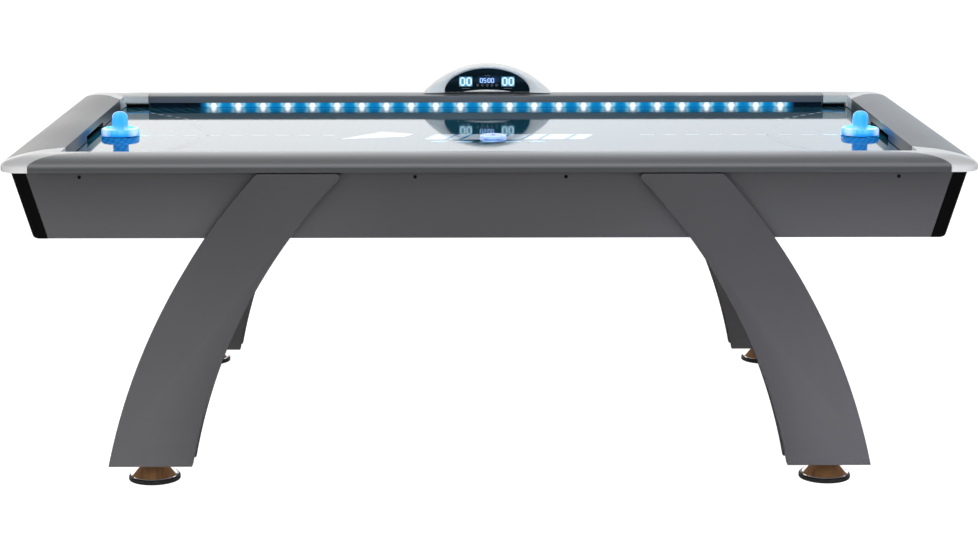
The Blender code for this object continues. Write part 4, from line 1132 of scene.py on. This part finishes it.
def make_crescent(mats):
    """The pale lens-shaped lip under the window, bulging forwards, on a dark sill."""
    half, rise, count = 0.0665, 0.0052, 40
    base = BOARD_BASE_Z + 0.0040
    section = [(0.0, 0.0), (0.0, 0.0045), (0.2, 0.0058), (0.5, 0.0050)]
    section += [(0.8, 0.0028), (1.0, 0.0004), (1.0, 0.0)]
    bm, rows = bmesh.new(), []
    for k in range(count + 1):
        s = 2 * k / count - 1
        x, height, flare = BOARD_X + half * s, rise * (1 - s * s) + 0.0002, 1 - s * s * 0.9
        spots = [(x, DISPLAY_FRONT_Y - GAP - depth * flare, base + height * u) for u, depth in section]
        rows.append([bm.verts.new(spot) for spot in spots])
    add_loft(bm, rows)
    piece(finish_mesh("scoreboard_lip", bm, mats["cap"], sharp=60))
    foot = BOARD_BASE_Z + 0.0002
    ends = ((-0.119, foot), (0.119, foot), (0.1195, WINDOW_BASE_Z), (-0.1195, WINDOW_BASE_Z))
    outline, y = [(BOARD_X + x, z) for x, z in ends], (BOARD_FRONT_Y + 0.002, DISPLAY_FRONT_Y - GAP)
    sill = prism("scoreboard_sill", outline, *y, mats["window"], bevel=0.0004)
    piece(sill)


SEGMENTS = {"0": "abcdef", "5": "afgcd"}


def add_bar(bm, x0, x1, z0, z1, y):
    """A lit bar with both of its ends pointed."""
    tip = min(x1 - x0, z1 - z0) / 2
    if z1 - z0 > x1 - x0:
        mid = x0 + tip
        outline = [(x0, z0 + tip), (mid, z0), (x1, z0 + tip), (x1, z1 - tip), (mid, z1), (x0, z1 - tip)]
    else:
        mid = z0 + tip
        outline = [(x0, mid), (x0 + tip, z0), (x1 - tip, z0), (x1, mid), (x1 - tip, z1), (x0 + tip, z1)]
    add_prism(bm, outline, y - GLOW_DEPTH, y)


def add_digit(bm, digit, x, z, width, height, bar, y):
    """A seven-segment figure, its lower left corner at (x, z). Two lit uprights in line are one bar."""
    lit, half, gap = SEGMENTS[digit], height / 2, bar * 0.04
    inset = bar / 2 + gap
    for name, rise in (("a", height - bar), ("g", half - bar / 2), ("d", 0)):
        if name in lit:
            add_bar(bm, x + inset, x + width - inset, z + rise, z + rise + bar, y)
    for lower, upper, dx in (("e", "f", 0), ("c", "b", width - bar)):
        if lower in lit or upper in lit:
            foot = inset if lower in lit else half + gap
            head = height - inset if upper in lit else half - gap
            add_bar(bm, x + dx, x + dx + bar, z + foot, z + head, y)


def glow_quad(name, x0, z0, x1, z1, mat):
    bm = bmesh.new()
    add_box(bm, (x0, DISPLAY_FRONT_Y - 0.0004, z0), (x1, DISPLAY_FRONT_Y - 0.0001, z1))
    piece(finish_mesh(name, bm, mat, bevel=0.00012, segments=1))


def make_figures(mats):
    y = DISPLAY_FRONT_Y - 0.0005
    bm = bmesh.new()
    for side, centre in FIGURE_XS.items():
        for k in (0, 1):
            add_digit(bm, "0", centre - 0.0172 + 0.0183 * k, 0.8058, 0.0165, 0.0250, 0.0050, y)
        glow_quad(f"score_glow_{side}", centre - 0.0184, 0.8047, centre + 0.0184, 0.8317, mats["digit_glow"])
    piece(finish_mesh("score_figures", bm, mats["digit"]))
    bm = bmesh.new()
    for k, digit in enumerate("0500"):
        x = BOARD_X - 0.0205 + 0.0098 * k + 0.0020 * (k > 1)
        add_digit(bm, digit, x, CLOCK_Z, 0.0082, 0.0130, 0.0018, y)
    for z in (CLOCK_Z + 0.0040, CLOCK_Z + 0.0085):
        add_box(bm, (BOARD_X - 0.0011, y - GLOW_DEPTH, z), (BOARD_X + 0.0005, y, z + 0.0016))
    piece(finish_mesh("clock_figures", bm, mats["clock"]))
    glow_quad("clock_glow", BOARD_X - 0.0222, 0.8134, BOARD_X + 0.0222, 0.8292, mats["clock_glow"])
    bm = bmesh.new()
    left, right = FIGURE_XS.values()
    for x, half, z in ((left, 0.011, 0.7985), (right, 0.012, 0.7985), (BOARD_X, 0.007, 0.8345)):
        add_box(bm, (x - half, y, z), (x + half, y + GLOW_DEPTH, z + 0.0012))
    piece(finish_mesh("label_bars", bm, mats["icon"]))


def make_keys(mats):
    """Round keys with a raised ring and a small lit mark each."""
    ring = [(0, 0.0005), (0.0026, 0.0004), (0.0031, 0.0)]
    ring += [(0.0036, 0.0001), (0.0039, 0.0005), (0.0040, 0.0012)]
    size = 0.0006
    for i in range(1, 6):
        node = f"score_key_{i}"
        lo, hi = low(node), high(node)
        at = (centre(node)[0], lo[1], centre(node)[2])
        depth = hi[1] - lo[1]
        flange = [(0.0040, depth - 0.0015), (0.0052, depth - 0.0015), (0.0052, depth), (0, depth)]
        turned(f"fine_{node}", ring + flange, at, 36, mats["key"], node, [node], "Y")
        bm = bmesh.new()
        for k in range(3):
            turn = 2 * pi * k / 3 + i
            x, z = at[0] + 0.0012 * cos(turn), at[2] + 0.0012 * sin(turn)
            add_box(bm, (x - size, at[1] + 0.0002, z - size), (x + size, at[1] + 0.0006, z + size))
        piece(finish_mesh(f"key_mark_{i}", bm, mats["icon"], at=at), node)


# ---- strikers and puck


def make_strikers():
    """They cast no shadow and light nothing themselves: a point light in each does."""
    profile, mat = smooth_profile(STRIKER_PROFILE), striker_material()
    for side in SIDES:
        node = f"striker_{side}"
        at = (*centre(node)[:2], SURFACE_Z)
        striker = turned(f"fine_{node}", profile, at, 96, mat, node, [node], sharp=60)
        striker.visible_diffuse = striker.visible_shadow = False


def make_puck(mats):
    """A disc with rounded edges, a ring groove near its rim and another round a dark dot."""
    lo, hi = low("puck"), high("puck")
    at = (*centre("puck")[:2], lo[2])
    radius, thick = (hi[0] - lo[0]) / 2, hi[2] - lo[2]
    rim = [(0.0012, 0), (0.0002, 0.0006), (0, 0.0014), (0, thick - 0.0014), (0.0002, thick - 0.0006)]
    rim += [(0.0012, thick), (0.0045, thick), (0.0055, thick - 0.0008), (0.0085, thick - 0.0008)]
    rim.append((0.0095, thick))
    profile = [(0, 0)] + [(radius - inset, h) for inset, h in rim] + [(0.009, thick)]
    profile += [(0.0082, thick - 0.0007), (0.0074, thick - 0.0007), (0.0066, thick), (0, thick)]
    turned("fine_puck", profile, at, 96, puck_material(), "puck", ["puck"])
    base, top = thick - 0.0002, thick + 0.0001
    dot = [(0, base), (0.0050, base), (0.0050, top), (0, top)]
    turned("puck_dot", dot, at, 40, mats["window"], "puck")


# ---- carried-over CAD nodes


def dress(node, mat):
    obj = NODES[node]
    obj.data.materials.clear()
    obj.data.materials.append(mat)


def dress_nodes(mats):
    dress("playfield_deck", mats["playfield"])
    for node in ("cabinet_bottom", "air_plenum"):
        dress(node, mats["board"])
    for node in ("blower_housing", "blower_impeller", "blower_grille", "power_inlet", "power_switch"):
        dress(node, mats["black"])
    dress("blower_motor", mats["steel"])
    dress("scoreboard_circuit", mats["circuit"])
    dress("scoreboard_display", mats["window"])
    clear = clear_window_material()
    for face in FACES:
        dress(f"light_window_{face}", clear)
    for side in SIDES:
        dress(f"puck_tray_{side}", mats["black"])
        dress(f"striker_pad_{side}", mats["felt"])


# ---- stage


def make_world():
    """A studio cove: bright low behind the table, dimmer above, soft light overhead, white in view."""
    world = bpy.data.worlds.new("studio")
    bpy.context.scene.world = world
    world.use_nodes = True
    g = Graph(world.node_tree)
    world.node_tree.nodes.clear()
    x, y, z = g.node("SeparateXYZ", Vector=g.read("TexCoord", "Generated")).outputs
    turn = g.math("DIVIDE", g.math("ADD", g.math("ARCTAN2", z, y), pi), 2 * pi)
    tone = g.ramp(turn, [(t, (v, v, v)) for t, v in WORLD_STOPS])
    tint = g.mix(g.span(x, -0.25, 0.25), (1.04, 1.02, 1.0), (0.78, 0.83, 0.88))
    lit = g.node("Background", Color=g.mix(1.0, tone, tint, "MULTIPLY"), Strength=1.95)
    white = g.node("Background", Color=(1, 1, 1, 1), Strength=1.0)
    g.finish_split(lit, white, "World")


def make_floor():
    """Plain white in view, with a softer bounce that mirrors see dimmer still."""
    bm = bmesh.new()
    corners = ((-1, -1), (1, -1), (1, 1), (-1, 1))
    bm.faces.new([bm.verts.new((FLOOR_REACH * x, FLOOR_REACH * y, 0)) for x, y in corners])
    mat = bpy.data.materials.new("floor_white")
    mat.use_nodes = True
    g = Graph(mat.node_tree)
    mat.node_tree.nodes.clear()
    both = g.new("AddShader")
    dull = g.node("BsdfDiffuse", Color=(0.30, 0.30, 0.30, 1))
    seen = g.node("Emission", Color=(1, 1, 1, 1), Strength=1.0)
    g.fill(both, (dull.outputs[0], seen.outputs[0]))
    strength = g.math("SUBTRACT", 0.62, g.math("MULTIPLY", g.read("LightPath", "Is Glossy Ray"), 0.45))
    g.finish_split(g.node("Emission", Color=(1, 1, 1, 1), Strength=strength), both, "Material")
    floor = new_object("floor", bm, mat)
    floor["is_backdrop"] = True


def area_light(name, at, target, size, power, colour):
    """A soft light that neither the camera nor a mirror sees."""
    data = bpy.data.lights.new(name, "AREA")
    data.shape = "RECTANGLE"
    data.size, data.size_y = size
    data.energy, data.color = power, colour
    light = bpy.data.objects.new(name, data)
    light.location = at
    light.rotation_mode = "QUATERNION"
    light.rotation_quaternion = (Vector(target) - Vector(at)).to_track_quat("-Z", "Y")
    link(light)
    light.visible_camera = light.visible_glossy = False


def make_lights():
    for light in STUDIO_LIGHTS:
        area_light(*light)
    for face, sy in FACES.items():
        y = sy * (INNER_Y - 0.004)
        at, target = (0.03, y, LIP_Z - 0.006), (0.03, 0, LIP_Z - 0.020)
        area_light(f"led_wash_{face}", at, target, (1.62, 0.008), 1.6, LED_BLUE)
    for side in SIDES:
        striker = f"striker_{side}"
        data = bpy.data.lights.new(f"striker_glow_{side}", "POINT")
        data.energy, data.color, data.shadow_soft_size = 0.8, (0.0, 0.70, 0.75), 0.02
        glow_light = bpy.data.objects.new(f"striker_glow_{side}", data)
        glow_light.location = (*centre(striker)[:2], low(striker)[2] + 0.022)
        link(glow_light)
        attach(glow_light, f"striker_{side}")
        glow_light.visible_camera = glow_light.visible_glossy = False


def make_camera():
    data = bpy.data.cameras.new("camera")
    data.lens, data.sensor_width, data.sensor_fit = LENS, SENSOR, "HORIZONTAL"
    data.clip_end = 100
    camera = bpy.data.objects.new("camera", data)
    camera.location = CAMERA_AT
    camera.rotation_euler = (radians(90 - CAMERA_PITCH), 0, radians(-CAMERA_YAW))
    link(camera)
    bpy.context.scene.camera = camera


def main():
    bpy.context.scene.view_settings.view_transform = "Standard"
    make_camera()
    make_world()
    make_floor()
    make_lights()
    mats = make_materials()
    dress_nodes(mats)
    for name in (*FACES, *SIDES):
        make_rail(name, mats)
    for quarter in QUARTERS:
        make_cap(*quarter, mats)
    make_aprons(mats)
    make_posts(mats)
    make_legs(mats)
    make_feet(mats)
    make_print(mats)
    make_light_bars(mats)
    make_scoreboard_housing(mats)
    make_figures(mats)
    make_keys(mats)
    make_strikers()
    make_puck(mats)


main()
boxes = [[list(corner) for corner in box] for box in (CAD_BOX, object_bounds())]
